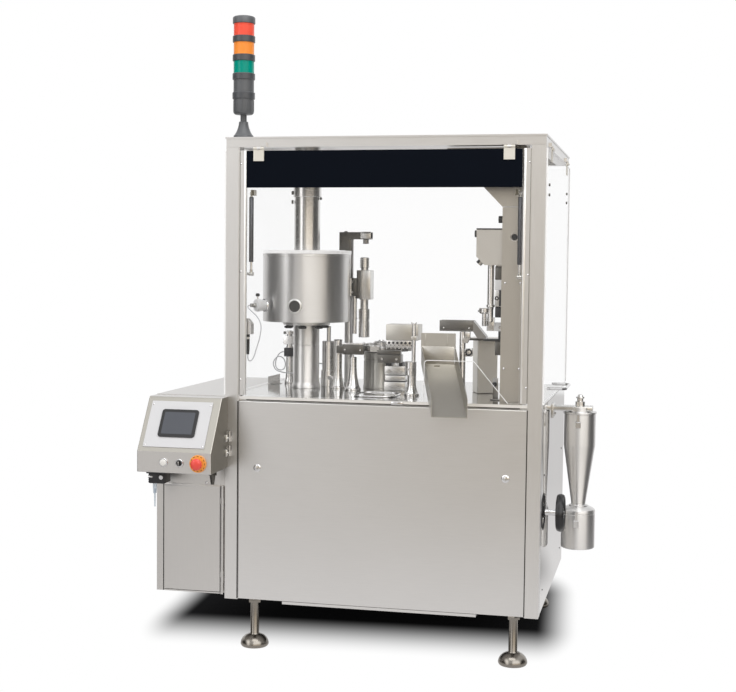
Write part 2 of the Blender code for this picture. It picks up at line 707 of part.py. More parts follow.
def span_block(name, centre, outward, along, reach, width, heights, origin=(0.0, 0.0, 0.0)):
    """A box round a hinge: reach runs outward from its pin, width runs along it."""
    corners = [
        centre + outward * reach[0] + along * width[0] + Vector((0, 0, heights[0])),
        centre + outward * reach[1] + along * width[1] + Vector((0, 0, heights[1]))]
    low = [min(pair) for pair in zip(*corners)]
    high = [max(pair) for pair in zip(*corners)]
    return block(name, low, high, origin=origin)


def add_fixed_hinge(roof, centre, outward, along):
    """A hinge block on the roof's edge with the middle knuckle below it."""
    wide = HINGE_BLOCK_WIDTH / 2
    knuckle = HINGE_LEAF_WIDTH / 6 - SEAT_GAP
    low = ROOF_UNDERSIDE - HINGE_Z + 0.001
    inward = -HINGE_OUT - 0.002
    join(roof, span_block(
        "hinge_block", centre, outward, along, (inward, -0.0035), (-wide, wide), (low, low + HINGE_BLOCK_HEIGHT)))
    join(roof, span_block(
        "hinge_tongue", centre, outward, along, (-HINGE_PIN_RADIUS - 0.003, 0.0), (-knuckle, knuckle),
        (-0.002, low + 0.004)))
    join(roof, rod(
        "hinge_knuckle", centre - along * knuckle, centre + along * knuckle, HINGE_PIN_RADIUS, sides=12))


# Guards

def add_moving_hinge(guard, centre, outward, along, origin, stand_off):
    """Two outer knuckles and a leaf that lies on the guard's face."""
    wide = HINGE_LEAF_WIDTH / 2
    knuckle = HINGE_LEAF_WIDTH / 6
    sheet_face = -HINGE_OUT + GUARD_CLEAR + GUARD_SHEET
    leaf_face = sheet_face + stand_off
    for side in (-1, 1):
        join(guard, rod(
            "moving_knuckle", centre + along * side * knuckle, centre + along * side * wide,
            HINGE_PIN_RADIUS, origin=origin, sides=12))
    leaf_top = -HINGE_PIN_RADIUS - RUN_GAP
    for side in (-1, 1):
        reach = (min(side * knuckle, side * wide), max(side * knuckle, side * wide))
        join(guard, span_block(
            "hinge_ear", centre, outward, along, (leaf_face, leaf_face + HINGE_LEAF_THICK), reach,
            (leaf_top - 0.002, 0.0), origin))
    join(guard, span_block(
        "hinge_leaf", centre, outward, along, (leaf_face, leaf_face + HINGE_LEAF_THICK), (-wide, wide),
        (-HINGE_LEAF_DROP, leaf_top), origin))
    join(guard, span_block(
        "leaf_root", centre, outward, along, (sheet_face - GUARD_SHEET / 2, leaf_face + HINGE_LEAF_THICK / 2),
        (-wide, wide), (GUARD_TOP - HINGE_Z - 0.004, GUARD_TOP - HINGE_Z - 0.0005), origin))


def make_front_guard():
    """The clear front guard with its cut-out for the chute, and the dark header band."""
    origin = (0.0, -HINGE_OUT, HINGE_Z)
    left = CUTOUT_LEFT
    corner = CUTOUT_CORNER
    outline = [(-GUARD_HALF, GUARD_BOTTOM), (-GUARD_HALF, GUARD_TOP), (GUARD_HALF, GUARD_TOP),
               (GUARD_HALF, GUARD_BOTTOM), (CUTOUT_RIGHT, GUARD_BOTTOM), (CUTOUT_TOP_RIGHT, CUTOUT_TOP)]
    outline += arc(left + corner, CUTOUT_TOP - corner, corner, 90.0, 180.0, 4)
    outline.append((left, GUARD_BOTTOM))
    face_in = -GUARD_CLEAR
    face_out = face_in - GUARD_SHEET
    guard = outline_plate("front_guard", outline, face_out, face_in, "XZ", parts, origin)
    paint(guard, CLEAR)
    band_gap = HEADER_THICK + 2 * SEAT_GAP
    for place, outward, along in hinge_places():
        if outward.y < 0:
            add_moving_hinge(guard, place, outward, along, origin, band_gap)
    for side in (-1, 1):
        middle = side * SPRING_X
        inner = side * (SPRING_X - SPRING_EYE_THICK / 2 - SEAT_GAP)
        join(guard, block(
            "spring_bracket", (min(inner, inner - side * 0.012), face_in - GUARD_SHEET / 2, SPRING_TOP_Z - 0.007),
            (max(inner, inner - side * 0.012), SPRING_Y + 0.006, SPRING_TOP_Z + 0.012), origin=origin))
        make_gas_spring(side, middle)
    header_face = face_out - SEAT_GAP
    header = block(
        "header_band", (-GUARD_HALF, header_face - HEADER_THICK, HEADER_LOW),
        (GUARD_HALF, header_face, HEADER_HIGH), parts, origin)
    paint(header, NAVY)
    for place, outward, along in hinge_places():
        if outward.y < 0:
            cut(header, span_block(
                "header_notch", place, outward, along, (-HINGE_OUT, HINGE_OUT),
                (-HINGE_LEAF_WIDTH / 2 - SEAT_GAP, HINGE_LEAF_WIDTH / 2 + SEAT_GAP),
                (GUARD_TOP - HINGE_Z - 0.005, HINGE_OUT), origin))


def make_gas_spring(side, middle):
    """A gas spring: the tube hangs from the guard and the rod ends beside the post's stud."""
    name = "left" if side < 0 else "right"
    top = (middle, SPRING_Y, SPRING_TOP_Z)
    tube_low = SPRING_TOP_Z - 0.011 - SPRING_TUBE_LENGTH
    bore = SPRING_ROD_RADIUS + SEAT_GAP
    tube = turned("gas_tube_" + name, [
        (0.0, -0.011), (SPRING_TUBE_RADIUS * 0.6, -0.011), (SPRING_TUBE_RADIUS, -0.014),
        (SPRING_TUBE_RADIUS, tube_low - SPRING_TOP_Z), (bore, tube_low - SPRING_TOP_Z),
        (bore, -0.040), (0.0, -0.040)], top, steps=16)
    paint(tube, DARK)
    join(tube, eye_block("tube_eye_" + name, middle, SPRING_TOP_Z, -0.014, top, SPRING_EYE_THICK / 2))
    rod_piece = turned("gas_rod_" + name, [
        (0.0, -0.060), (SPRING_ROD_RADIUS, -0.060), (SPRING_ROD_RADIUS, SPRING_LOW_Z - SPRING_TOP_Z),
        (0.0, SPRING_LOW_Z - SPRING_TOP_Z)], top, steps=16)
    paint(rod_piece, CHROME)
    join(rod_piece, eye_block("rod_eye_" + name, middle, SPRING_LOW_Z, 0.012, top, SPRING_BALL_THICK / 2))


def eye_block(name, middle, height, reach, origin, half):
    """A flat round eye on the end of a gas spring, with a short neck."""
    neck = SPRING_EYE_THICK * 0.45
    eye = rod(name, (middle - half, SPRING_Y, height), (middle + half, SPRING_Y, height), SPRING_EYE_RADIUS,
              origin=origin, sides=16)
    neck_low = min(height, height + reach)
    neck_high = max(height, height + reach)
    return join(eye, block(
        name + "_neck", (middle - neck, SPRING_Y - neck, neck_low), (middle + neck, SPRING_Y + neck, neck_high),
        origin=origin))


def make_side_guards():
    """Clear guards on both sides and at the back. The right one has a pull handle."""
    for side, name in ((-1, "left_guard"), (1, "right_guard")):
        origin = (side * (WIDTH / 2 + HINGE_OUT), DEPTH / 2, HINGE_Z)
        face_in = side * (WIDTH / 2 + GUARD_CLEAR)
        face_out = side * (WIDTH / 2 + GUARD_CLEAR + GUARD_SHEET)
        guard = paint(block(
            name, (min(face_in, face_out), 0.002, GUARD_BOTTOM), (max(face_in, face_out), DEPTH - 0.006, GUARD_TOP),
            parts, origin), CLEAR)
        for place, outward, along in hinge_places():
            if outward.x * side > 0:
                add_moving_hinge(guard, place, outward, along, origin, 0.0)
        if side > 0:
            reach = face_out + HANDLE_REACH
            root = face_out - GUARD_SHEET / 2
            join(guard, bent_rod("guard_handle", [
                (root, HANDLE_Y[0], HANDLE_Z), (reach - 0.012, HANDLE_Y[0], HANDLE_Z),
                (reach, HANDLE_Y[0] + 0.012, HANDLE_Z), (reach, HANDLE_Y[1] - 0.012, HANDLE_Z),
                (reach - 0.012, HANDLE_Y[1], HANDLE_Z), (root, HANDLE_Y[1], HANDLE_Z)],
                HANDLE_ROD, origin=origin))
    origin = (0.0, DEPTH + HINGE_OUT, HINGE_Z)
    face_in = DEPTH + GUARD_CLEAR
    guard = paint(block(
        "rear_guard", (-WIDTH / 2 + 0.002, face_in, GUARD_BOTTOM), (WIDTH / 2 - 0.002, face_in + GUARD_SHEET, GUARD_TOP),
        parts, origin), CLEAR)
    for place, outward, along in hinge_places():
        if outward.y > 0:
            add_moving_hinge(guard, place, outward, along, origin, 0.0)


# Electrics cabinet and console

def make_electrics():
    """The electrics cabinet on the machine's left side, with its door and back plate."""
    right = -WIDTH / 2 - SEAT_GAP
    wall = 0.002
    top = WORKTOP_TOP - 0.001
    door_back = ELECTRICS_DOOR_THICK + SEAT_GAP
    body = paint(block("electrics_cabinet", (ELECTRICS_LEFT, 0.0, ELECTRICS_BOTTOM), (right, ELECTRICS_DEPTH, top),
                       parts), SATIN)
    cut(body, block("door_recess", (ELECTRICS_DOOR_LEFT - 0.002, -0.01, ELECTRICS_BOTTOM - 0.01),
                    (right + 0.01, door_back, ELECTRICS_DOOR_TOP + 0.002)))
    cut(body, block("electrics_inside", (ELECTRICS_LEFT + wall, door_back + wall, ELECTRICS_BOTTOM + wall),
                    (right - wall, ELECTRICS_DEPTH - wall, top - wall)))
    cut(body, block("electrics_opening", (ELECTRICS_DOOR_LEFT + 0.012, 0.0, ELECTRICS_BOTTOM + 0.022),
                    (ELECTRICS_HINGE_X - 0.014, door_back + 2 * wall, ELECTRICS_DOOR_TOP - 0.016)))
    plate_y = ELECTRICS_DEPTH - 0.060
    join(body, block("backplate", (ELECTRICS_LEFT + wall / 2, plate_y, ELECTRICS_BOTTOM + 0.060),
                     (right - wall / 2, plate_y + 0.002, top - 0.040)))
    for row in range(3):
        height = ELECTRICS_BOTTOM + 0.110 + row * 0.170
        join(body, block("switchgear", (ELECTRICS_LEFT + 0.030, plate_y - 0.070, height),
                         (right - 0.030, plate_y + 0.001, height + 0.090)))
    for height in (ELECTRICS_BOTTOM + 0.060, ELECTRICS_DOOR_TOP - 0.060):
        join(body, rod("door_pin_fixed", (ELECTRICS_HINGE_X, ELECTRICS_HINGE_Y, height - 0.020),
                       (ELECTRICS_HINGE_X, ELECTRICS_HINGE_Y, height - SEAT_GAP), 0.0035, sides=12))
        join(body, block("door_pin_leaf", (ELECTRICS_HINGE_X - 0.0012, ELECTRICS_HINGE_Y, height - 0.020),
                         (ELECTRICS_HINGE_X + 0.0012, door_back + wall / 2, height - SEAT_GAP)))
    origin = (ELECTRICS_HINGE_X, ELECTRICS_HINGE_Y, ELECTRICS_BOTTOM)
    door_right = ELECTRICS_HINGE_X - 0.0045
    door = paint(block("electrics_door", (ELECTRICS_DOOR_LEFT, 0.0, ELECTRICS_BOTTOM),
                       (door_right, ELECTRICS_DOOR_THICK, ELECTRICS_DOOR_TOP), parts, origin), SATIN)
    cut(door, block("door_hollow", (ELECTRICS_DOOR_LEFT + wall, wall, ELECTRICS_BOTTOM + wall),
                    (door_right - wall, ELECTRICS_DOOR_THICK + wall, ELECTRICS_DOOR_TOP - wall), origin=origin))
    for height in (ELECTRICS_BOTTOM + 0.060, ELECTRICS_DOOR_TOP - 0.060):
        join(door, rod("door_pin_moving", (ELECTRICS_HINGE_X, ELECTRICS_HINGE_Y, height),
                       (ELECTRICS_HINGE_X, ELECTRICS_HINGE_Y, height + 0.020), 0.0035, origin=origin, sides=12))
        join(door, block("door_leaf_moving", (door_right - 0.004, ELECTRICS_HINGE_Y - 0.0015, height),
                         (ELECTRICS_HINGE_X, ELECTRICS_HINGE_Y + 0.0015, height + 0.020), origin=origin))
        join(door, block("door_leaf_root", (door_right - 0.004, ELECTRICS_HINGE_Y - 0.0015, height),
                         (door_right - 0.0005, wall / 2, height + 0.020), origin=origin))


def console_point(along, out=0.0):
    """A place on the slanted face: along runs from its top edge down, out stands off it."""
    run = Vector((0.0, -CONSOLE_REACH + CONSOLE_TOP_REACH, CONSOLE_SLANT_LOW - CONSOLE_SLANT_TOP))
    face = run.normalized()
    normal = Vector((0.0, face.z, -face.y))
    return Vector((0.0, -CONSOLE_TOP_REACH, CONSOLE_SLANT_TOP)) + face * along + normal * out


def slanted_plate(name, left, right, top, bottom, lift, thick, group=parts):
    """A plate that lies on the console's slanted face."""
    corners = [console_point(top, lift), console_point(bottom, lift),
               console_point(bottom, lift + thick), console_point(top, lift + thick)]
    outline = [(corner.y, corner.z) for corner in corners]
    return outline_plate(name, outline, left, right, "YZ", group, CONSOLE_PIVOT)


CONSOLE_PIVOT = (CONSOLE_HINGE_X, CONSOLE_HINGE_Y, CONSOLE_BOTTOM)


def make_console():
    """The operator console, hung on two side hinges, with its plate, screen and buttons."""
    back = -SEAT_GAP
    outline = [(back, CONSOLE_BOTTOM), (-CONSOLE_REACH, CONSOLE_BOTTOM), (-CONSOLE_REACH, CONSOLE_SLANT_LOW),
               (-CONSOLE_TOP_REACH, CONSOLE_SLANT_TOP), (-CONSOLE_TOP_REACH + 0.006, CONSOLE_TOP), (back, CONSOLE_TOP)]
    body = outline_plate("console_housing", outline, CONSOLE_LEFT, CONSOLE_RIGHT, "YZ", parts, CONSOLE_PIVOT)
    paint(body, SATIN)
    soften(body, 0.0025, 2)
    for height in CONSOLE_HINGE_Z:
        join(body, rod("console_moving_barrel", (CONSOLE_HINGE_X, CONSOLE_HINGE_Y, height),
                       (CONSOLE_HINGE_X, CONSOLE_HINGE_Y, height + CONSOLE_BARREL_LENGTH),
                       CONSOLE_BARREL_RADIUS, origin=CONSOLE_PIVOT, sides=12))
        join(body, block("console_moving_leaf", (CONSOLE_RIGHT - 0.004, CONSOLE_HINGE_Y - 0.0025, height),
                         (CONSOLE_HINGE_X, CONSOLE_HINGE_Y + 0.0025, height + CONSOLE_BARREL_LENGTH),
                         origin=CONSOLE_PIVOT))
    plate = paint(slanted_plate(
        "operator_panel", CONSOLE_LEFT + 0.017, CONSOLE_RIGHT - 0.028, 0.010, 0.186, SEAT_GAP, PLATE_THICK), WHITE)
    soften(plate, 0.0008, 1)
    lift = 2 * SEAT_GAP + PLATE_THICK
    screen = paint(slanted_plate(
        "touch_screen", CONSOLE_LEFT + 0.063, CONSOLE_RIGHT - 0.071, 0.043, 0.148, lift, 0.004), GREY_GLASS)
    soften(screen, 0.0015, 2)
    nose = (CONSOLE_HINGE_X, CONSOLE_HINGE_Y, CONSOLE_BOTTOM)
    add_front_controls(body, nose)
    hose_x = CONSOLE_RIGHT - 0.036
    join(body, rod("air_inlet_nut", (hose_x, -0.060, CONSOLE_BOTTOM + 0.002), (hose_x, -0.060, CONSOLE_BOTTOM - 0.020),
                   0.0150, origin=CONSOLE_PIVOT, sides=6))
    join(body, rod("air_inlet_barb", (hose_x, -0.060, CONSOLE_BOTTOM - 0.016), (hose_x, -0.060, CONSOLE_BOTTOM - 0.052),
                   0.0110, origin=CONSOLE_PIVOT, sides=12, end_radius=0.0060))


def add_front_controls(body, pivot):
    """The start button, the key switch and the emergency stop on the console's upright face."""
    face = -CONSOLE_REACH
    bezel = 0.0040
    for name, across, bezel_radius, bore in (
            ("start", START_X, 0.0150, 0.0115), ("selector", SELECTOR_X, 0.0145, 0.0100),
            ("estop", ESTOP_X, 0.0305, 0.0090)):
        join(body, rod(name + "_bezel", (across, face + 0.003, BUTTON_Z), (across, face - bezel, BUTTON_Z),
                       bezel_radius, origin=pivot, sides=20))
        cut(body, rod(name + "_bore", (across, face - 0.010, BUTTON_Z), (across, face + 0.020, BUTTON_Z),
                      bore + SEAT_GAP, origin=pivot, sides=16))
    start = turned("start_button", [
        (0.0, 0.0085), (0.0095, 0.0085), (0.0115, 0.0070), (0.0115, -0.0120), (0.0, -0.0120)],
        (START_X, face, BUTTON_Z), steps=16, axis="Y")
    paint(start, WHITE)
    selector = turned("key_switch", [
        (0.0, 0.0060), (0.0085, 0.0060), (0.0100, 0.0045), (0.0100, -0.0150), (0.0, -0.0150)],
        (SELECTOR_X, face, BUTTON_Z), steps=16, axis="Y")
    paint(selector, BLACK)
    join(selector, block("key_bow", (SELECTOR_X - 0.0016, face - 0.0130, BUTTON_Z - 0.0070),
                         (SELECTOR_X + 0.0016, face - 0.0050, BUTTON_Z + 0.0070)))
    stop = turned("estop_button", [
        (0.0, ESTOP_HEIGHT), (0.0120, ESTOP_HEIGHT - 0.001), (0.0180, 0.0250), (0.0200, 0.0200), (0.0195, 0.0160),
        (0.0130, 0.0120), (0.0090, 0.0110), (0.0090, -0.0120), (0.0, -0.0120)],
        (ESTOP_X, face, BUTTON_Z), steps=18, axis="Y")
    paint(stop, RED)


def make_regulator():
    """The air filter under the console: a black bracket block, a bowl and its drain."""
    top = CONSOLE_BOTTOM - SEAT_GAP
    left = CONSOLE_LEFT
    body = block("air_regulator", (left + 0.005, -0.110, top - 0.016), (left + 0.077, -0.030, top), parts, CONSOLE_PIVOT)
    paint(body, BLACK)
    join(body, block("regulator_body", (left + 0.009, -0.100, top - 0.052), (left + 0.069, -0.040, top - 0.014),
                     origin=CONSOLE_PIVOT))
    join(body, rod("regulator_bowl", (left + 0.022, -0.070, top - 0.050), (left + 0.022, -0.070, top - 0.090), 0.0080,
                   origin=CONSOLE_PIVOT, sides=16, end_radius=0.0060))
    join(body, rod("regulator_drain", (left + 0.022, -0.070, top - 0.086), (left + 0.022, -0.070, top - 0.138), 0.0035,
                   origin=CONSOLE_PIVOT, sides=12, end_radius=0.0025))


# Signal tower

def make_tower():
    """Stacked light modules on a flared foot: buzzer and foot, green, orange, red and cap."""
    r = TOWER_RADIUS
    ring = TOWER_RING_RADIUS
    base_z = ROOF_TOP + SEAT_GAP
    neck = 0.0110
    foot = [(0.0, 0.2240), (ring - 0.0015, 0.2240), (ring, 0.2225), (ring, 0.2035), (r, 0.2020), (r, 0.1590),
            (ring, 0.1575), (ring, 0.1365), (r, 0.1350), (r, 0.0890), (r - 0.005, 0.0830), (neck, 0.0825),
            (neck, 0.0585), (0.0160, 0.0570), (0.0165, 0.0500), (0.0195, 0.0360), (0.0255, 0.0210), (0.0320, 0.0110),
            (0.0345, 0.0090), (0.0345, 0.0), (0.0, 0.0)]
    top = foot[0][1]
    paint(turned("tower_base", foot, (TOWER_X, TOWER_Y, base_z), steps=18), DARK)
    level = base_z + top + SEAT_GAP
    lens = [(r, LENS_HEIGHT), (r, 0.003), (r - 0.002, 0.0), (0.0, 0.0)]
    full = LENS_HEIGHT + LENS_RING_HEIGHT
    ringed = [(0.0, full), (ring - 0.0015, full), (ring, full - 0.0015), (ring, LENS_HEIGHT + 0.0015)] + lens
    for name, look in (("green", GREEN_LENS), ("orange", ORANGE_LENS)):
        paint(turned("tower_lens_" + name, ringed, (TOWER_X, TOWER_Y, level), steps=18), look)
        level += full + SEAT_GAP
    plug = r - 0.004
    plug_top = LENS_HEIGHT + LENS_PLUG_HEIGHT
    plugged = [(0.0, plug_top), (plug, plug_top), (plug, LENS_HEIGHT)] + lens
    paint(turned("tower_lens_red", plugged, (TOWER_X, TOWER_Y, level), steps=18), RED_LENS)
    level += LENS_HEIGHT + SEAT_GAP
    recess = LENS_PLUG_HEIGHT
    paint(turned("tower_cap", [
        (0.0, 0.0269), (ring * 0.7, 0.0262), (ring - 0.003, 0.0235), (ring, 0.0190), (ring, 0.0015), (ring - 0.0015, 0.0),
        (plug + SEAT_GAP, 0.0), (plug + SEAT_GAP, recess), (0.0, recess)], (TOWER_X, TOWER_Y, level), steps=18), DARK)


# Hopper

def make_hopper():
    """The powder hopper on its column: an open drum, a split lid, a sight glass and a sensor."""
    centre = (HOPPER_X, HOPPER_Y, 0.0)
    r = HOPPER_COLUMN_RADIUS
    base = DECK_SEAT
    roof = ROOF_UNDERSIDE - SEAT_GAP
    column = turned("hopper_column", [
        (0.0, roof + 0.028), (r, roof + 0.028), (r, roof - 0.110), (r + 0.004, roof - 0.112), (r + 0.004, roof - 0.150),
        (r, roof - 0.152), (r, HOPPER_BOTTOM - 0.0015), (r + 0.040, HOPPER_BOTTOM - 0.0015),
        (r + 0.040, HOPPER_BOTTOM - 0.013), (r, HOPPER_BOTTOM - 0.013), (r, 1.0610), (r - 0.0015, 1.0600),
        (r - 0.0015, 1.0570), (r, 1.0560), (r, base + 0.022), (r + 0.005, base + 0.006), (r + 0.005, base),
        (0.0, base)], centre, steps=20)
    paint(column, SATIN)
    column_roof_stub(column)
    radius = HOPPER_RADIUS
    inner = radius - HOPPER_WALL
    hub = r + SEAT_GAP
    drum = turned("hopper_drum", [
        (radius, HOPPER_TOP), (radius, HOPPER_BOTTOM), (hub, HOPPER_BOTTOM), (hub, HOPPER_BOTTOM + 0.040),
        (hub + HOPPER_WALL, HOPPER_BOTTOM + 0.040), (hub + HOPPER_WALL, HOPPER_BOTTOM + HOPPER_WALL),
        (inner, HOPPER_BOTTOM + HOPPER_WALL), (inner, HOPPER_TOP)], centre, steps=32, closed=True)
    paint(drum, POLISHED)
    join(drum, rod("sight_ring", (HOPPER_X, HOPPER_Y - radius + 0.004, SIGHT_Z),
                   (HOPPER_X, HOPPER_Y - radius - 0.005, SIGHT_Z), SIGHT_RADIUS, sides=20))
    toward = Vector((cos(SENSOR_ANGLE), sin(SENSOR_ANGLE), 0.0))
    middle = Vector((HOPPER_X, HOPPER_Y, SENSOR_Z))
    join(drum, rod("sensor_nozzle", middle + toward * (radius - 0.003), middle + toward * (radius + 0.008),
                   0.0190, sides=16))
    sensor_start = radius + 0.008 + SEAT_GAP
    sensor = rod("level_sensor", middle + toward * sensor_start, middle + toward * (sensor_start + 0.030),
                 0.0200, parts, sides=16)
    paint(sensor, WHITE)
    join(sensor, rod("sensor_clamp", middle + toward * sensor_start, middle + toward * (sensor_start + 0.008),
                     0.0245, sides=16))
    join(sensor, rod("sensor_body", middle + toward * (sensor_start + 0.028), middle + toward * (sensor_start + 0.042),
                     0.0230, sides=16))
    join(sensor, rod("sensor_tail", middle + toward * (sensor_start + 0.040), middle + toward * SENSOR_TAIL,
                     0.0085, sides=12))
    knob = middle + toward * (sensor_start + 0.035)
    join(sensor, rod("sensor_knob_stem", knob, knob + Vector((0.0, 0.0, 0.040)), 0.0030, sides=8))
    join(sensor, rod("sensor_knob", knob + Vector((0.0, 0.0, 0.032)), knob + Vector((0.0, 0.0, 0.044)), 0.0075,
                     sides=10))
    make_lid(centre, hub)


SENSOR_TAIL = 0.235
FLAP_HINGE_Y = HOPPER_Y - 0.075


def column_roof_stub(column):
    """A shoulder that the roof's underside rests on, so that the column carries the roof."""
    cut(column, rod("column_top_trim", (HOPPER_X, HOPPER_Y, ROOF_TOP - ROOF_SHEET - SEAT_GAP),
                    (HOPPER_X, HOPPER_Y, ROOF_TOP + 0.05), HOPPER_COLUMN_RADIUS + 0.01, sides=12))


def make_lid(centre, hub):
    """A white lid round the column, with a front flap on a straight hinge line."""
    low = HOPPER_TOP + SEAT_GAP
    high = low + HOPPER_LID_THICK
    rim = HOPPER_RADIUS + 0.003
    lid = turned("hopper_lid", [
        (rim, high), (rim, low), (hub + RUN_GAP, low), (hub + RUN_GAP, high)], centre, steps=32, closed=True)
    paint(lid, WHITE)
    cut(lid, block("lid_front_cut", (HOPPER_X - 1.0, HOPPER_Y - 1.0, low - 0.01),
                   (HOPPER_X + 1.0, FLAP_HINGE_Y, high + 0.01)))
    flap_y = FLAP_HINGE_Y - RUN_GAP
    flap = turned("hopper_flap", [(0.0, high), (rim, high), (rim, low), (0.0, low)], centre, steps=32)
    paint(flap, WHITE)
    cut(flap, block("lid_rear_cut", (HOPPER_X - 1.0, flap_y, low - 0.01),
                    (HOPPER_X + 1.0, HOPPER_Y + 1.0, high + 0.01)))


def make_sensor_cable():
    """The level sensor's cable, from its tail to the plug on the left post."""
    path = smooth_points(SENSOR_CABLE_ROUTE, SENSOR_CABLE_RADIUS * 6)
    cable = bent_rod("sensor_cable", path, SENSOR_CABLE_RADIUS, parts)
    paint(cable, CABLE_GREY)


SENSOR_CABLE_RADIUS = 0.0018
SENSOR_CABLE_ROUTE = [
    (-0.5372, 0.2398, 1.2050), (-0.5405, 0.2365, 1.2045), (-0.5400, 0.2270, 1.1995), (-0.5240, 0.2120, 1.1870),
    (-0.4930, 0.1880, 1.1640), (-0.4700, 0.1550, 1.1345), (-0.4630, 0.1200, 1.0960), (-0.4650, 0.0850, 1.0660),
    (-0.4690, 0.0600, 1.0430), (-0.4730, 0.0480, 1.0310), (-0.4765, 0.0385, 1.0265), (-0.4788, 0.0330, 1.0290),
    (-0.4790, 0.0320, 1.0340), (-0.4790, 0.0320, 1.0397)]
AIR_HOSE_RADIUS = 0.0020
AIR_HOSE_ROUTE = [
    (-0.4966, 0.5560, 1.0170), (-0.5060, 0.5560, 1.0170), (-0.5200, 0.5500, 1.0070), (-0.5290, 0.5420, 0.9800),
    (-0.5240, 0.5360, 0.9560), (-0.5060, 0.5330, 0.9480), (-0.4900, 0.5290, 0.9560), (-0.4850, 0.5250, 0.9750),
    (-0.4920, 0.5210, 0.9940), (-0.5080, 0.5180, 1.0020), (-0.5240, 0.5160, 0.9920), (-0.5300, 0.5140, 0.9720),
    (-0.5200, 0.5110, 0.9520), (-0.5000, 0.5070, 0.9440), (-0.4700, 0.5030, 0.9400), (-0.4300, 0.4990, 0.9420),
    (-0.3800, 0.4930, 0.9580), (-0.3420, 0.4820, 0.9800), (-0.3280, 0.4820, 0.9800)]


def make_valve_post():
    """A small bell-footed post behind the column with an air valve and its hose."""
    x = -0.478
    y = 0.560
    base = DECK_SEAT
    post = turned("valve_post", [
        (0.0, 1.100), (0.012, 1.100), (0.012, 1.040), (0.014, 1.038), (0.014, base + 0.050), (0.020, base + 0.010),
        (0.020, base), (0.0, base)], (x, y, 0.0), steps=14)
    paint(post, CHROME)
    join(post, block("valve_bracket", (x - 0.022, y - 0.014, 1.046), (x + 0.030, y + 0.014, 1.080)))
    join(post, block("valve_body", (x - 0.018, y - 0.020, 1.000), (x + 0.018, y + 0.016, 1.034)))
    join(post, rod("valve_collar", (x, y, 1.086), (x, y, 1.098), 0.026, sides=16))
    hose = bent_rod("air_hose", smooth_points(AIR_HOSE_ROUTE, AIR_HOSE_RADIUS * 5), AIR_HOSE_RADIUS, parts)
    paint(hose, CABLE_GREY)


# Stations on the worktop

def bell_pillar(x, y, top, shaft, foot, flare):
    """The profile of a pillar with a bell foot."""
    base = DECK_SEAT
    return [(0.0, top), (shaft - 0.001, top), (shaft, top - 0.001), (shaft, base + flare),
            (foot - 0.003, base + 0.008), (foot, base + 0.004), (foot, base), (0.0, base)]


def make_dosing_bridge():
    """Two bell-footed pillars that carry a bar, and the round housing beside them."""
    bridge = turned("dosing_bridge", bell_pillar(0, 0, 1.076, 0.0155, 0.027, 0.075), (-0.249, 0.415, 0.0), steps=16)
    paint(bridge, CHROME)
    join(bridge, block("bridge_bar", (-0.252, 0.335, 1.022), (-0.160, 0.372, 1.063)))
    join(bridge, block("bridge_link", (-0.262, 0.360, 1.028), (-0.236, 0.425, 1.058)))
    join(bridge, block("bridge_plate", (-0.256, 0.332, 1.0625), (-0.166, 0.375, 1.072)))
    join(bridge, turned("front_pillar", bell_pillar(0, 0, 1.024, 0.0140, 0.030, 0.095),
                        (-0.178, 0.355, 0.0), cutters, 16))
    join(bridge, rod("drive_link", (-0.262, 0.420, 0.930), (-0.300, 0.470, 0.930), 0.010, sides=12))
    join(bridge, rod("drive_housing", (-0.302, 0.480, 0.956), (-0.302, 0.480, 1.068), 0.025, sides=16))
    join(bridge, rod("drive_base", (-0.302, 0.480, DECK_SEAT), (-0.302, 0.480, 0.958), 0.029, sides=16))
    join(bridge, rod("drive_spindle", (-0.302, 0.480, 1.060), (-0.302, 0.480, HOPPER_BOTTOM - 0.020), 0.008, sides=10))


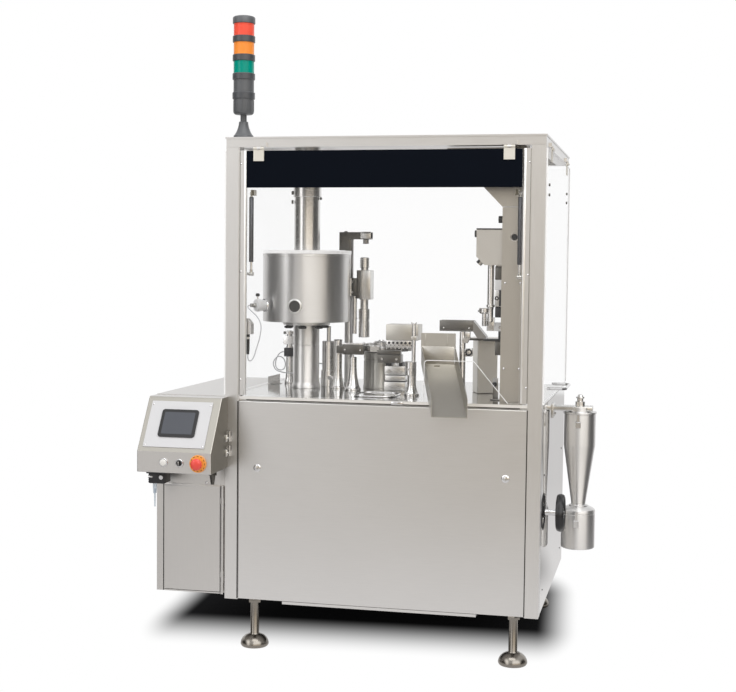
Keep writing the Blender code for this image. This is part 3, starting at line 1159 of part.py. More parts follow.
def make_dosing_station():
    """The dosing column with its top arm, and the head that slides on it."""
    x = DOSING_COLUMN_X
    y = DOSING_COLUMN_Y
    column = turned("dosing_column", [
        (0.0, DOSING_ARM_LOW + 0.010), (DOSING_COLUMN_RADIUS, DOSING_ARM_LOW + 0.010),
        (DOSING_COLUMN_RADIUS, DECK_SEAT + 0.012), (0.030, DECK_SEAT + 0.010), (0.030, DECK_SEAT), (0.0, DECK_SEAT)],
        (x, y, 0.0), steps=20)
    paint(column, SATIN)
    join(column, block("arm_block", (x - 0.020, y - 0.024, DOSING_ARM_LOW - 0.040), (x + 0.020, y + 0.020, DOSING_ARM_TOP)))
    join(column, block("arm_beam", (x, DOSING_HEAD_Y - 0.016, DOSING_ARM_LOW), (DOSING_HEAD_X + 0.026,
                       DOSING_HEAD_Y + 0.020, DOSING_ARM_TOP)))
    join(column, rod("arm_stop", (DOSING_HEAD_X, DOSING_HEAD_Y, DOSING_ARM_LOW + 0.002),
                     (DOSING_HEAD_X, DOSING_HEAD_Y, DOSING_ARM_LOW - 0.016), 0.012, sides=16))
    bore = DOSING_COLUMN_RADIUS + SEAT_GAP
    head = block("dosing_head", (DOSING_HEAD_X - 0.030, DOSING_HEAD_Y - 0.030, 1.225),
                 (DOSING_HEAD_X + 0.030, DOSING_HEAD_Y + 0.030, 1.337), parts)
    paint(head, SATIN)
    join(head, block("head_clamp", (x - 0.002, y - 0.018, 1.238), (DOSING_HEAD_X - 0.028, y + 0.018, 1.306)))
    join(head, rod("head_ring", (x, y, 1.238), (x, y, 1.306), DOSING_COLUMN_RADIUS + 0.008, sides=20))
    join(head, rod("head_spindle", (DOSING_HEAD_X, DOSING_HEAD_Y, 1.330), (DOSING_HEAD_X, DOSING_HEAD_Y, 1.385),
                   0.0175, sides=16))
    join(head, rod("head_quill", (DOSING_HEAD_X, DOSING_HEAD_Y, 1.230), (DOSING_HEAD_X, DOSING_HEAD_Y, 1.150),
                   0.0160, sides=16))
    join(head, rod("head_sleeve", (DOSING_HEAD_X, DOSING_HEAD_Y, 1.190), (DOSING_HEAD_X, DOSING_HEAD_Y, 1.082),
                   0.0215, sides=16))
    cut(head, rod("head_bore", (x, y, 1.200), (x, y, 1.340), bore, sides=20))


def make_turret():
    """The indexing turret: a table with twelve bushing segments on a drum housing."""
    base = DECK_SEAT
    housing = turned("turret_housing", [
        (TURRET_SHAFT_RADIUS + RUN_GAP, TURRET_TABLE_Z - 0.004), (TURRET_DRUM_RADIUS, TURRET_TABLE_Z - 0.004),
        (TURRET_DRUM_RADIUS, base), (TURRET_SHAFT_RADIUS + RUN_GAP, base)],
        (TURRET_X, TURRET_Y, 0.0), steps=24, closed=True)
    paint(housing, SATIN)
    front = 0.385
    join(housing, block("bearing_base", (-0.066, front, base), (0.013, front + 0.060, 0.928)))
    join(housing, block("bearing_lower", (-0.064, front - 0.002, 0.927), (0.012, front + 0.055, 0.953)))
    join(housing, block("bearing_upper", (-0.067, front - 0.005, 0.952), (0.012, front + 0.055, 0.996)))
    join(housing, block("bearing_link", (-0.060, front + 0.010, 0.990), (-0.010, front + 0.060, TURRET_TABLE_Z - 0.008)))
    table_top = TURRET_TABLE_Z + TURRET_TABLE_THICK
    shaft_low = CABINET_TOP - 0.080
    table = turned("turret_table", [
        (0.0, table_top + 0.026), (0.024, table_top + 0.026), (0.030, table_top + 0.020), (0.030, table_top),
        (TURRET_TABLE_RADIUS, table_top), (TURRET_TABLE_RADIUS, TURRET_TABLE_Z), (TURRET_SHAFT_RADIUS, TURRET_TABLE_Z),
        (TURRET_SHAFT_RADIUS, shaft_low), (0.0, shaft_low)], (TURRET_X, TURRET_Y, 0.0), steps=24)
    paint(table, CHROME)
    segment_half = 0.0190
    for station in range(TURRET_STATIONS):
        angle = 2 * pi * station / TURRET_STATIONS
        segment = segment_block("segment", angle, segment_half, table_top)
        join(table, segment)
        for side in (-1, 1):
            place = station_point(angle, BUSHING_CIRCLE, side * 0.010)
            cut(table, rod("bushing", (place.x, place.y, TURRET_TABLE_Z - 0.01), (place.x, place.y, table_top + 0.03),
                           BUSHING_RADIUS, sides=6))


def station_point(angle, radius, aside):
    """A place on the turret: out from its axis along one station, and aside from it."""
    out = Vector((cos(angle), sin(angle), 0.0))
    across = Vector((-sin(angle), cos(angle), 0.0))
    return Vector((TURRET_X, TURRET_Y, 0.0)) + out * radius + across * aside


def segment_block(name, angle, half, table_top):
    """One bushing segment that stands out from the turret table."""
    shape = bmesh.new()
    bmesh.ops.create_cube(shape, size=1.0)
    inner = TURRET_TABLE_RADIUS - 0.010
    length = TURRET_REACH - inner
    bmesh.ops.scale(shape, verts=shape.verts, vec=(length, 2 * half, TURRET_TABLE_THICK + 0.004))
    lift = (TURRET_TABLE_Z + table_top + 0.008) / 2
    bmesh.ops.translate(shape, verts=shape.verts, vec=(inner + length / 2, 0.0, lift))
    bmesh.ops.rotate(shape, verts=shape.verts, cent=(0, 0, 0), matrix=Matrix.Rotation(angle, 3, "Z"))
    bmesh.ops.translate(shape, verts=shape.verts, vec=(TURRET_X, TURRET_Y, 0.0))
    return from_bmesh(name, shape, cutters)


def make_discharge():
    """The ejection hood on its pillar, and the open chute that carries the capsules out."""
    x = 0.0675
    y = 0.227
    hood = turned("discharge_hood", bell_pillar(0, 0, 0.970, 0.0160, 0.028, 0.050), (x, y, 0.0), steps=16)
    paint(hood, SATIN)
    join(hood, rod("hood_collar", (x - 0.004, y, 0.967), (x - 0.004, y, 1.016), 0.0205, sides=16))
    join(hood, rod("hood_rod", (x + 0.006, y, 1.010), (x + 0.006, y, 1.142), 0.0070, sides=12))
    join(hood, rod("hood_wing_hub", (x + 0.006, y, 1.138), (x + 0.006, y, 1.152), 0.0060, sides=10))
    join(hood, block("hood_wing", (x - 0.004, y - 0.0015, 1.146), (x + 0.016, y + 0.0015, 1.156)))
    box = block("hood_box", (-0.033, 0.252, 1.089), (0.082, 0.345, 1.145))
    cut(box, block("hood_hollow", (-0.031, 0.254, 1.080), (0.080, 0.343, 1.143)))
    join(hood, box)
    join(hood, block("hood_tab", (x - 0.003, y - 0.008, 1.092), (x + 0.015, 0.256, 1.106)))
    make_chute()


def chute_outline(wall):
    """The U section of the chute across X and up Z, from its floor's middle."""
    half = CHUTE_WIDTH / 2
    return [(-half, 0.0), (half, 0.0), (half, CHUTE_SIDE), (half - wall, CHUTE_SIDE), (half - wall, wall),
            (-half + wall, wall), (-half + wall, CHUTE_SIDE), (-half, CHUTE_SIDE)]


def make_chute():
    """A folded U channel that runs down from the hood and out through the guard's cut-out."""
    shape = bmesh.new()
    ends = []
    for x, y, z in ((CHUTE_LOW_X, CHUTE_LOW_Y, CHUTE_LOW_Z), (CHUTE_HIGH_X, CHUTE_HIGH_Y, CHUTE_HIGH_Z)):
        ends.append([shape.verts.new((x + u, y, z + v)) for u, v in chute_outline(CHUTE_WALL)])
    count = len(ends[0])
    for index in range(count):
        follow = (index + 1) % count
        shape.faces.new((ends[0][index], ends[0][follow], ends[1][follow], ends[1][index]))
    shape.faces.new(ends[0])
    shape.faces.new(ends[1])
    bmesh.ops.recalc_face_normals(shape, faces=shape.faces)
    chute = paint(from_bmesh("discharge_chute", shape, parts), SATIN)
    half = CHUTE_WIDTH / 2
    join(chute, block("chute_back", (CHUTE_HIGH_X - half - 0.001, CHUTE_HIGH_Y - 0.001, CHUTE_HIGH_Z + CHUTE_SIDE - 0.004),
                      (CHUTE_HIGH_X + half + 0.001, CHUTE_HIGH_Y + CHUTE_WALL, CHUTE_BACK_TOP)))
    join(chute, block("chute_leg", (CHUTE_HIGH_X - 0.010, CHUTE_HIGH_Y - 0.022, DECK_SEAT + 0.001),
                      (CHUTE_HIGH_X + 0.010, CHUTE_HIGH_Y - 0.002, CHUTE_HIGH_Z - 0.004)))
    join(chute, block("chute_leg_foot", (CHUTE_HIGH_X - 0.030, CHUTE_HIGH_Y - 0.034, DECK_SEAT),
                      (CHUTE_HIGH_X + 0.030, CHUTE_HIGH_Y + 0.010, DECK_SEAT + 0.006)))


def make_feeder():
    """The capsule feeder: magazine tray, pedestal, duct column, head box and its rod."""
    tray = block("capsule_tray", (0.165, 0.225, 1.127), (0.285, 0.275, 1.165), parts)
    paint(tray, SATIN)
    cut(tray, block("tray_channel", (0.160, 0.229, 1.131), (0.290, 0.271, 1.175)))
    join(tray, outline_plate("tray_end", [(0.2845, 1.127), (0.300, 1.103), (0.330, 1.103), (0.330, 1.110), (0.2845, 1.165)],
                             0.225, 0.275, "XZ"))
    join(tray, rod("tray_pillar", (0.250, 0.212, DECK_SEAT), (0.250, 0.212, 1.131), 0.0110, sides=16))
    join(tray, rod("tray_pillar_foot", (0.250, 0.212, DECK_SEAT), (0.250, 0.212, 0.950), 0.0190, sides=20, end_radius=0.0110))
    join(tray, block("tray_clamp", (0.248, 0.205, 1.040), (0.284, 0.235, 1.068)))
    join(tray, block("tray_bracket", (0.240, 0.205, 1.100), (0.276, 0.232, 1.130)))
    make_pedestal()
    make_duct()
    make_feeder_head()


def make_pedestal():
    """The drive pedestal: a folded box turned towards the chute, with a dark top plate."""
    shape = bmesh.new()
    bmesh.ops.create_cube(shape, size=1.0)
    height = PEDESTAL_TOP - DECK_SEAT
    bmesh.ops.scale(shape, verts=shape.verts, vec=(0.074, 0.086, height))
    bmesh.ops.rotate(shape, verts=shape.verts, cent=(0, 0, 0), matrix=Matrix.Rotation(radians(20.0), 3, "Z"))
    bmesh.ops.translate(shape, verts=shape.verts, vec=(PEDESTAL_X, PEDESTAL_Y, DECK_SEAT + height / 2))
    pedestal = paint(from_bmesh("feeder_pedestal", shape, parts), SATIN)
    soften(pedestal, 0.003, 2)
    join(pedestal, block("pedestal_plate", (PEDESTAL_X - 0.052, PEDESTAL_Y - 0.060, PEDESTAL_TOP - 0.001),
                         (PEDESTAL_X + 0.062, PEDESTAL_Y + 0.050, PEDESTAL_TOP + 0.007)))


def make_duct():
    """The folded column that carries the roof on the right, flared to the left at its top."""
    top = ROOF_UNDERSIDE - SEAT_GAP
    flare_end = DUCT_LEFT - (top - DUCT_FLARE_Z) * 0.97
    outline = [(DUCT_LEFT, DECK_SEAT), (DUCT_RIGHT, DECK_SEAT), (DUCT_RIGHT, top), (flare_end, top), (DUCT_LEFT, DUCT_FLARE_Z)]
    back = DUCT_FRONT + DUCT_DEPTH
    duct = paint(outline_plate("duct_column", outline, DUCT_FRONT, back, "XZ", parts), SATIN)
    wall = 0.003
    cut(duct, block("duct_inside", (DUCT_LEFT + wall, DUCT_FRONT + wall, DECK_SEAT + wall),
                    (DUCT_RIGHT - wall, back + wall, top - 0.060)))
    cut(duct, rod("duct_hole", (0.440, DUCT_FRONT - 0.01, 1.455), (0.440, DUCT_FRONT + 2 * wall, 1.455), 0.012, sides=20))
    join(duct, block("roof_tie", (DUCT_LEFT, DUCT_FRONT + 0.020, top - 0.010), (DUCT_RIGHT, back - 0.02,
                     ROOF_TOP - ROOF_SHEET - SEAT_GAP)))
    join(duct, rod("duct_knob", (DUCT_LEFT + 0.001, DUCT_FRONT + 0.030, 1.515), (DUCT_LEFT - 0.016, DUCT_FRONT + 0.030, 1.515),
                   0.0120, sides=16))


def make_feeder_head():
    """The feeder's head box on the column, and the rod with a cup that works below it."""
    outline = [(FEEDER_LEFT, FEEDER_HIGH), (FEEDER_LEFT, 1.389), (0.336, FEEDER_LOW), (DUCT_LEFT - SEAT_GAP, FEEDER_LOW),
               (DUCT_LEFT - SEAT_GAP, FEEDER_HIGH)]
    head = paint(outline_plate("feeder_head", outline, 0.110, 0.200, "XZ", parts), SATIN)
    rod_y = 0.155
    cut(head, rod("feeder_bore", (FEEDER_ROD_X, rod_y, FEEDER_LOW - 0.01), (FEEDER_ROD_X, rod_y, FEEDER_HIGH - 0.010),
                  FEEDER_ROD_RADIUS + SEAT_GAP, sides=16))
    join(head, rod("feeder_side_knob", (FEEDER_LEFT + 0.001, 0.150, 1.467), (FEEDER_LEFT - 0.011, 0.150, 1.467), 0.0120, sides=16))
    join(head, rod("feeder_low_knob", (0.322, 0.150, 1.376), (0.311, 0.150, 1.364), 0.0110, sides=16))
    join(head, block("feeder_guide", (0.372, 0.140, 1.215), (DUCT_LEFT - SEAT_GAP, 0.185, FEEDER_LOW + 0.002)))
    rod_top = FEEDER_LOW + 0.060
    plunger = turned("feeder_rod", [
        (0.0, rod_top), (FEEDER_ROD_RADIUS, rod_top), (FEEDER_ROD_RADIUS, 1.225), (0.0150, 1.223), (0.0150, 1.217),
        (FEEDER_ROD_RADIUS, 1.215), (0.0100, 1.205), (0.0100, 1.165), (0.0, 1.165)],
        (FEEDER_ROD_X, rod_y, 0.0), steps=16)
    paint(plunger, CHROME)
    join(plunger, rod("feeder_cup", (0.333, rod_y, 1.192), (0.333, rod_y, 1.212), 0.0190, sides=20))
    join(plunger, rod("feeder_cup_stem", (0.325, rod_y, 1.150), (0.325, rod_y, 1.195), 0.0080, sides=14))


# Dust cyclone and handwheel

def make_cyclone():
    """The dust cyclone on the right side: arm, body and the collecting pot with its latch."""
    neck = CYCLONE_NECK_RADIUS
    body = turned("cyclone", [
        (0.0, CYCLONE_TOP + 0.018), (0.040, CYCLONE_TOP + 0.018), (0.040, CYCLONE_TOP), (CYCLONE_RADIUS + 0.003, CYCLONE_TOP),
        (CYCLONE_RADIUS + 0.003, CYCLONE_TOP - 0.006), (CYCLONE_RADIUS, CYCLONE_TOP - 0.008),
        (CYCLONE_RADIUS, CYCLONE_SHOULDER), (neck, CYCLONE_NECK_Z + 0.006), (neck + 0.008, CYCLONE_NECK_Z + 0.004),
        (neck + 0.008, CYCLONE_NECK_Z), (0.0, CYCLONE_NECK_Z)], (CYCLONE_X, CYCLONE_Y, 0.0), steps=24)
    paint(body, POLISHED)
    join(body, block("cyclone_arm", (WIDTH / 2 + SEAT_GAP, CYCLONE_Y - 0.030, CYCLONE_TOP + 0.004),
                     (CYCLONE_X + 0.045, CYCLONE_Y + 0.030, CYCLONE_TOP + 0.020)))
    join(body, block("cyclone_foot", (WIDTH / 2 + SEAT_GAP, CYCLONE_Y - 0.035, CYCLONE_TOP - 0.024),
                     (WIDTH / 2 + 0.008, CYCLONE_Y + 0.035, CYCLONE_TOP + 0.028)))
    join(body, turned("cyclone_outlet", [
        (0.0, 0.9030), (0.0120, 0.9030), (0.0160, 0.8950), (0.0160, 0.8880), (0.0110, 0.8860), (0.0110, 0.8780),
        (0.0170, 0.8760), (0.0170, 0.8560), (0.0, 0.8560)], (CYCLONE_X, CYCLONE_Y, 0.0), cutters, 14))
    pot = turned("collector_pot", [
        (0.0, POT_TOP), (POT_RADIUS - 0.020, POT_TOP), (POT_RADIUS - 0.003, POT_TOP - 0.008), (POT_RADIUS, POT_TOP - 0.014),
        (POT_RADIUS, POT_BOTTOM + 0.004), (POT_RADIUS - 0.003, POT_BOTTOM), (0.0, POT_BOTTOM)],
        (CYCLONE_X, CYCLONE_Y, 0.0), steps=24)
    paint(pot, POLISHED)


def make_handwheel():
    """The turning wheel for setting up by hand, on a shaft through the side panel."""
    wheel = turned("handwheel", [
        (WHEEL_RADIUS - 0.006, 0.014), (WHEEL_RADIUS, 0.007), (WHEEL_RADIUS, -0.007), (WHEEL_RADIUS - 0.006, -0.014),
        (WHEEL_RADIUS - 0.016, -0.009), (WHEEL_RADIUS - 0.016, 0.009)],
        (WHEEL_X, WHEEL_Y, WHEEL_Z), steps=24, axis="X", closed=True)
    paint(wheel, BLACK)
    start = WHEEL_X - 0.080
    centre = Vector((WHEEL_X, WHEEL_Y, WHEEL_Z))
    join(wheel, rod("wheel_shaft", (start, WHEEL_Y, WHEEL_Z), (WHEEL_X + 0.014, WHEEL_Y, WHEEL_Z), WHEEL_SHAFT_RADIUS,
                    origin=centre, sides=14))
    join(wheel, rod("wheel_hub", (WHEEL_X - 0.016, WHEEL_Y, WHEEL_Z), (WHEEL_X + 0.012, WHEEL_Y, WHEEL_Z), 0.020,
                    origin=centre, sides=16))
    spokes = 3
    for index in range(spokes):
        angle = 2 * pi * index / spokes + pi / 2
        tip = centre + Vector((0.0, cos(angle), sin(angle))) * (WHEEL_RADIUS - 0.010)
        join(wheel, rod("wheel_spoke", centre, tip, 0.0065, origin=centre, sides=8))


def make_drive():
    """The drive inside the cabinet: the indexing gearbox under the turret and its motor."""
    top = CABINET_TOP - CABINET_WALL - SEAT_GAP
    shaft_bore = TURRET_SHAFT_RADIUS + RUN_GAP
    body = block("drive_unit", (TURRET_AXIS_X - 0.110, TURRET_Y - 0.110, top - 0.200), (TURRET_AXIS_X + 0.110, TURRET_Y + 0.110, top), parts)
    paint(body, DARK)
    soften(body, 0.006, 2)
    join(body, block("drive_stem", (TURRET_AXIS_X - 0.060, WHEEL_Y - 0.060, WHEEL_Z - 0.060),
                     (TURRET_AXIS_X + 0.060, TURRET_Y + 0.040, top - 0.190)))
    join(body, rod("drive_motor", (TURRET_AXIS_X, TURRET_Y + 0.030, WHEEL_Z), (TURRET_AXIS_X, TURRET_Y + 0.270, WHEEL_Z), 0.070, sides=20))
    join(body, rod("hand_shaft", (TURRET_AXIS_X + 0.050, WHEEL_Y, WHEEL_Z), (WHEEL_X - 0.080 - SEAT_GAP, WHEEL_Y, WHEEL_Z),
                   WHEEL_SHAFT_RADIUS, sides=12))
    cut(body, rod("drive_bore", (TURRET_AXIS_X, TURRET_Y, top - 0.120), (TURRET_AXIS_X, TURRET_Y, top + 0.01), shaft_bore))


make_cabinet()
make_front_panel()
make_side_panel()
make_feet()
make_worktop()
make_posts()
make_roof()
make_front_guard()
make_side_guards()
make_electrics()
make_console()
make_regulator()
make_tower()
beside(
    left_stations, make_hopper, make_sensor_cable, make_valve_post, make_dosing_bridge, make_dosing_station,
    make_turret)
beside(right_stations, make_discharge, make_feeder)
make_cyclone()
make_handwheel()
make_drive()
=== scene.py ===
# Looks for the capsule filling machine: every surface, fitting and cable that the camera sees,
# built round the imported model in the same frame. Units are metres, +X right, +Y back, +Z up.
from math import cos, pi, radians, sin

import bmesh
import bpy
from mathutils import Matrix, Vector


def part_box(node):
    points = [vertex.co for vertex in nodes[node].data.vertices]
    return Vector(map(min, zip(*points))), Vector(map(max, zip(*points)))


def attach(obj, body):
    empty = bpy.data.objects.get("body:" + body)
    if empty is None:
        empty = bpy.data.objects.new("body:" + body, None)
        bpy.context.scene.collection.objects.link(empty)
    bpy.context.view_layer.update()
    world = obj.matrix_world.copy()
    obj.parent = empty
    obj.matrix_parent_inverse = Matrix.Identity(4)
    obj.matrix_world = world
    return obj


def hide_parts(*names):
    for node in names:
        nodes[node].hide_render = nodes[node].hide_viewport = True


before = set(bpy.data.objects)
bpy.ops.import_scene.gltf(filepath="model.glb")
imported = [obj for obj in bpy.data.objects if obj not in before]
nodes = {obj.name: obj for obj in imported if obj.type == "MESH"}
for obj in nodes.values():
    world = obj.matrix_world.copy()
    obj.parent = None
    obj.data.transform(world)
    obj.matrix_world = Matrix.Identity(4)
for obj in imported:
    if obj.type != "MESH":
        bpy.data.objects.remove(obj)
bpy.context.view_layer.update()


# Studio
# A white room with a pale floor. The machine stands in soft light from overhead and both
# sides, and the camera is where the photographer stood, about 4.5 m in front of it.

def linear(colour):
    """An sRGB hex colour as the linear values that the renderer works in."""
    parts = [int(colour[index:index + 2], 16) / 255 for index in (1, 3, 5)]
    return (*[part / 12.92 if part <= 0.04045 else ((part + 0.055) / 1.055) ** 2.4
              for part in parts], 1.0)


def add(tree, kind, inputs=None, **settings):
    """One node with its settings. An input given as a socket is linked, any other is a value."""
    node = tree.nodes.new("ShaderNode" + kind)
    for name, value in settings.items():
        setattr(node, name, value)
    for name, value in (inputs or {}).items():
        if isinstance(value, bpy.types.NodeSocket):
            tree.links.new(value, node.inputs[name])
        else:
            node.inputs[name].default_value = value
    return node


def in_scene(name, data):
    """A new object in the scene."""
    piece = bpy.data.objects.new(name, data)
    bpy.context.scene.collection.objects.link(piece)
    return piece


ORIGIN = Vector((0.0475, -0.38575, 0.0))


def at(x, y, z):
    """A place measured from the middle of the cabinet's front at floor level."""
    return ORIGIN + Vector((x, y, z))


# What the steel mirrors: a white ceiling and back wall, grey walls that turn warmer to the
# right, a dark flag at each flank, and a bright softbox on both sides of the camera. The camera
# itself, and light that comes through the acrylic, meet plain white.
SOFTBOX_LEVEL = 2.6
FILL_LEVEL = 0.86
FLAG_AXIS = (0.98, 0.19, 0.0)
FLAG_EDGE = (0.76, 0.94)
room = bpy.data.worlds.new("studio_room")
bpy.context.scene.world = room
room.use_nodes = True
tree = room.node_tree
tree.nodes.clear()
way = add(tree, "TexCoord")
split = add(tree, "SeparateXYZ", {"Vector": way.outputs["Generated"]})
sideways = add(tree, "VectorMath", {0: way.outputs["Generated"], 1: FLAG_AXIS}, operation="DOT_PRODUCT")
aside = add(tree, "Math", {0: sideways.outputs["Value"]}, operation="ABSOLUTE")
shade = {"interpolation_type": "SMOOTHSTEP"}
zones = {}
for name, value, start, end in (
        ("right", split.outputs["X"], -0.34, -0.06), ("upper", split.outputs["Z"], 0.12, 0.4),
        ("flank", aside.outputs[0], *FLAG_EDGE), ("lower", split.outputs["Z"], 0.8, 0.35),
        ("rear", split.outputs["Y"], 0.4, 0.85), ("box_right", split.outputs["X"], 0.0, 0.16),
        ("box_left", split.outputs["X"], -0.38, -0.52), ("under", split.outputs["Z"], 0.84, 0.64),
        ("ahead", split.outputs["Y"], -0.1, -0.5)):
    zones[name] = add(tree, "MapRange", {"Value": value, "From Min": start, "From Max": end}, **shade).outputs[0]
seen = add(tree, "LightPath")
for name, first, second, operation in (
        ("flagged", "flank", "lower", "MULTIPLY"), ("boxes", "box_right", "box_left", "MAXIMUM"),
        ("low_boxes", "boxes", "under", "MULTIPLY"), ("softbox", "low_boxes", "ahead", "MULTIPLY")):
    zones[name] = add(tree, "Math", {0: zones[first], 1: zones[second]}, operation=operation).outputs[0]
walls = linear("#dedcda")
for name, hue in (("right", "#b5ac9e"), ("upper", "#ffffff"), ("flagged", "#45433f"), ("rear", "#ffffff")):
    blend = add(tree, "Mix", {"Factor": zones[name], "A": walls, "B": linear(hue)}, data_type="RGBA")
    walls = blend.outputs["Result"]
direct = add(tree, "Math", {0: seen.outputs["Is Camera Ray"], 1: seen.outputs["Is Transmission Ray"]},
             operation="MAXIMUM")
shown = add(tree, "Mix", {"Factor": direct.outputs[0], "A": walls, "B": linear("#ffffff")}, data_type="RGBA")
glossy = add(tree, "Math", {0: direct.outputs[0], 1: seen.outputs["Is Glossy Ray"]}, operation="MAXIMUM")
strength = add(tree, "MapRange", {"Value": glossy.outputs[0], "To Min": FILL_LEVEL, "To Max": 1.0})
mirrored = add(tree, "Math", {0: zones["softbox"], 1: seen.outputs["Is Glossy Ray"]}, operation="MULTIPLY")
boost = add(tree, "MapRange", {"Value": mirrored.outputs[0], "To Min": 1.0, "To Max": SOFTBOX_LEVEL})
level = add(tree, "Math", {0: strength.outputs[0], 1: boost.outputs[0]}, operation="MULTIPLY")
sky = add(tree, "Background", {"Color": shown.outputs["Result"], "Strength": level.outputs[0]})
add(tree, "OutputWorld", {"Surface": sky.outputs[0]})

# White paper: it glows white to the camera except close round the machine, where a dark matt
# patch paints its shadow, and to the steel it looks bright close by and greyer towards the camera.
FLOOR_HALF = 9.0
FLOOR_DROP = 0.0005
floor_mesh = bpy.data.meshes.new("studio_floor")
floor_mesh.from_pydata([(x * FLOOR_HALF, y * FLOOR_HALF, 0.0) for x, y in ((-1, -1), (1, -1), (1, 1), (-1, 1))],
                       [], [(0, 1, 2, 3)])
floor = in_scene("studio_floor", floor_mesh)
floor.location = (0.0, 0.0, -FLOOR_DROP)
SHADOW_MIDDLE = (-0.14, 0.38, 0.0)
SHADOW_TURN = (0.0, 0.0, radians(4.0))
SHADOW_FADE = (0.16, 0.46, 1.0)
SHADOW_HALF = (4.15, 0.58, 1.0)
paper = bpy.data.materials.new("white_paper_floor")
paper.use_nodes = True
tree = paper.node_tree
tree.nodes.clear()
place = add(tree, "TexCoord")
offset = add(tree, "Mapping", {"Vector": place.outputs["Object"], "Location": SHADOW_MIDDLE, "Rotation": SHADOW_TURN,
                               "Scale": SHADOW_FADE}, vector_type="TEXTURE")
apart = add(tree, "VectorMath", {0: offset.outputs[0]}, operation="ABSOLUTE")
over = add(tree, "VectorMath", {0: apart.outputs[0], 1: SHADOW_HALF}, operation="SUBTRACT")
clipped = add(tree, "VectorMath", {0: over.outputs[0], 1: (0.0, 0.0, 0.0)}, operation="MAXIMUM")
reach = add(tree, "VectorMath", {0: clipped.outputs[0]}, operation="LENGTH")
shadow = add(tree, "MapRange", {"Value": reach.outputs["Value"], "From Min": 1.0, "From Max": 0.0}, **shade)
spread = add(tree, "VectorMath", {0: place.outputs["Object"]}, operation="LENGTH")
falling = add(tree, "MapRange", {"Value": spread.outputs["Value"], "From Min": 1.2, "From Max": 4.0,
                                 "To Min": 0.84, "To Max": 0.7})
sides = add(tree, "SeparateXYZ", {"Vector": place.outputs["Object"]})
aside = add(tree, "MapRange", {"Value": sides.outputs["X"], "From Min": -2.4, "From Max": 0.2}, **shade)
away = add(tree, "MapRange", {"Value": spread.outputs["Value"], "From Min": 1.4, "From Max": 4.0}, **shade)
facing = add(tree, "MapRange", {"Value": sides.outputs["Y"], "From Min": -0.4, "From Max": -1.4}, **shade)
rightward = add(tree, "Math", {0: aside.outputs[0], 1: away.outputs[0]}, operation="MULTIPLY")
warm = add(tree, "Math", {0: rightward.outputs[0], 1: facing.outputs[0]}, operation="MULTIPLY")
bearing = add(tree, "VectorMath", {0: place.outputs["Object"]}, operation="NORMALIZE")
toward_flag = add(tree, "VectorMath", {0: bearing.outputs[0], 1: FLAG_AXIS}, operation="DOT_PRODUCT")
beside = add(tree, "Math", {0: toward_flag.outputs["Value"]}, operation="ABSOLUTE")
flag = add(tree, "MapRange", {"Value": beside.outputs[0], "From Min": FLAG_EDGE[0], "From Max": FLAG_EDGE[1]},
           **shade)
clear = add(tree, "MapRange", {"Value": spread.outputs["Value"], "From Min": 1.1, "From Max": 1.8}, **shade)
flagging = add(tree, "Math", {0: flag.outputs[0], 1: clear.outputs[0]}, operation="MULTIPLY")
unlit = add(tree, "MapRange", {"Value": flagging.outputs[0], "To Min": 1.0, "To Max": 0.16})
falling = add(tree, "Math", {0: falling.outputs[0], 1: unlit.outputs[0]}, operation="MULTIPLY")
card = add(tree, "Mix", {"Factor": warm.outputs[0], "A": linear("#fbf9f8"), "B": linear("#d6ccbd")}, data_type="RGBA")
path = add(tree, "LightPath")
bright = add(tree, "Mix", {"Factor": path.outputs["Is Camera Ray"], "A": card.outputs["Result"],
                           "B": linear("#ffffff")}, data_type="RGBA")
glow = add(tree, "Mix", {"Factor": path.outputs["Is Camera Ray"], "A": falling.outputs[0], "B": 1.0},
           data_type="FLOAT")
lit = add(tree, "Emission", {"Color": bright.outputs["Result"], "Strength": glow.outputs["Result"]})
painted_shadow_patch = add(tree, "BsdfDiffuse", {"Color": linear("#202021")})
surface = add(tree, "MixShader", {0: shadow.outputs[0], 1: lit.outputs[0], 2: painted_shadow_patch.outputs[0]})
add(tree, "OutputMaterial", {"Surface": surface.outputs[0]})
floor_mesh.materials.append(paper)

# A large lamp overhead and one at each side. The side lamps light the plastics only: in the
# steel they would show as hard strips.
for name, spot, target, size, power in (
        ("lamp_overhead", at(0.3, -1.2, 4.2), at(0.0, 0.4, 1.0), 3.2, 56.0),
        ("lamp_left", at(-3.2, -2.6, 2.6), at(0.0, 0.3, 1.0), 2.0, 36.0),
        ("lamp_right", at(3.4, -1.6, 2.6), at(0.0, 0.3, 1.0), 2.0, 24.0)):
    lamp = bpy.data.lights.new(name, "AREA")
    lamp.size = size
    lamp.energy = power
    holder = in_scene(name, lamp)
    holder.location = spot
    holder.rotation_euler = (target - spot).to_track_quat("-Z", "Y").to_euler()
    holder.visible_glossy = name == "lamp_overhead"

# The photographer's place, solved from the machine's edges in the photograph.
CAMERA_LENS = 66.318
CAMERA_SENSOR = 36.0
CAMERA_PLACE = (0.96505, -4.48831, 1.35494)
CAMERA_TURN = 12.6456
CAMERA_DIP = 3.4053
CAMERA_ROLL = 0.6071
lens = bpy.data.cameras.new("photograph_camera")
lens.sensor_width = CAMERA_SENSOR
lens.lens = CAMERA_LENS
camera = in_scene("photograph_camera", lens)
turn = Matrix.Rotation(radians(CAMERA_TURN), 4, "Z")
dip = Matrix.Rotation(radians(90 - CAMERA_DIP), 4, "X")
roll = Matrix.Rotation(radians(CAMERA_ROLL), 4, "Z")
camera.matrix_world = Matrix.Translation(at(*CAMERA_PLACE)) @ turn @ dip @ roll
bpy.context.scene.camera = camera
bpy.context.scene.view_settings.view_transform = "Standard"


# Cabinet and panels
# Welded and folded sheet of grade 304 stainless steel, ground with a fine belt so that it has
# a short straight grain. The side panel is left with the mill's bright finish.

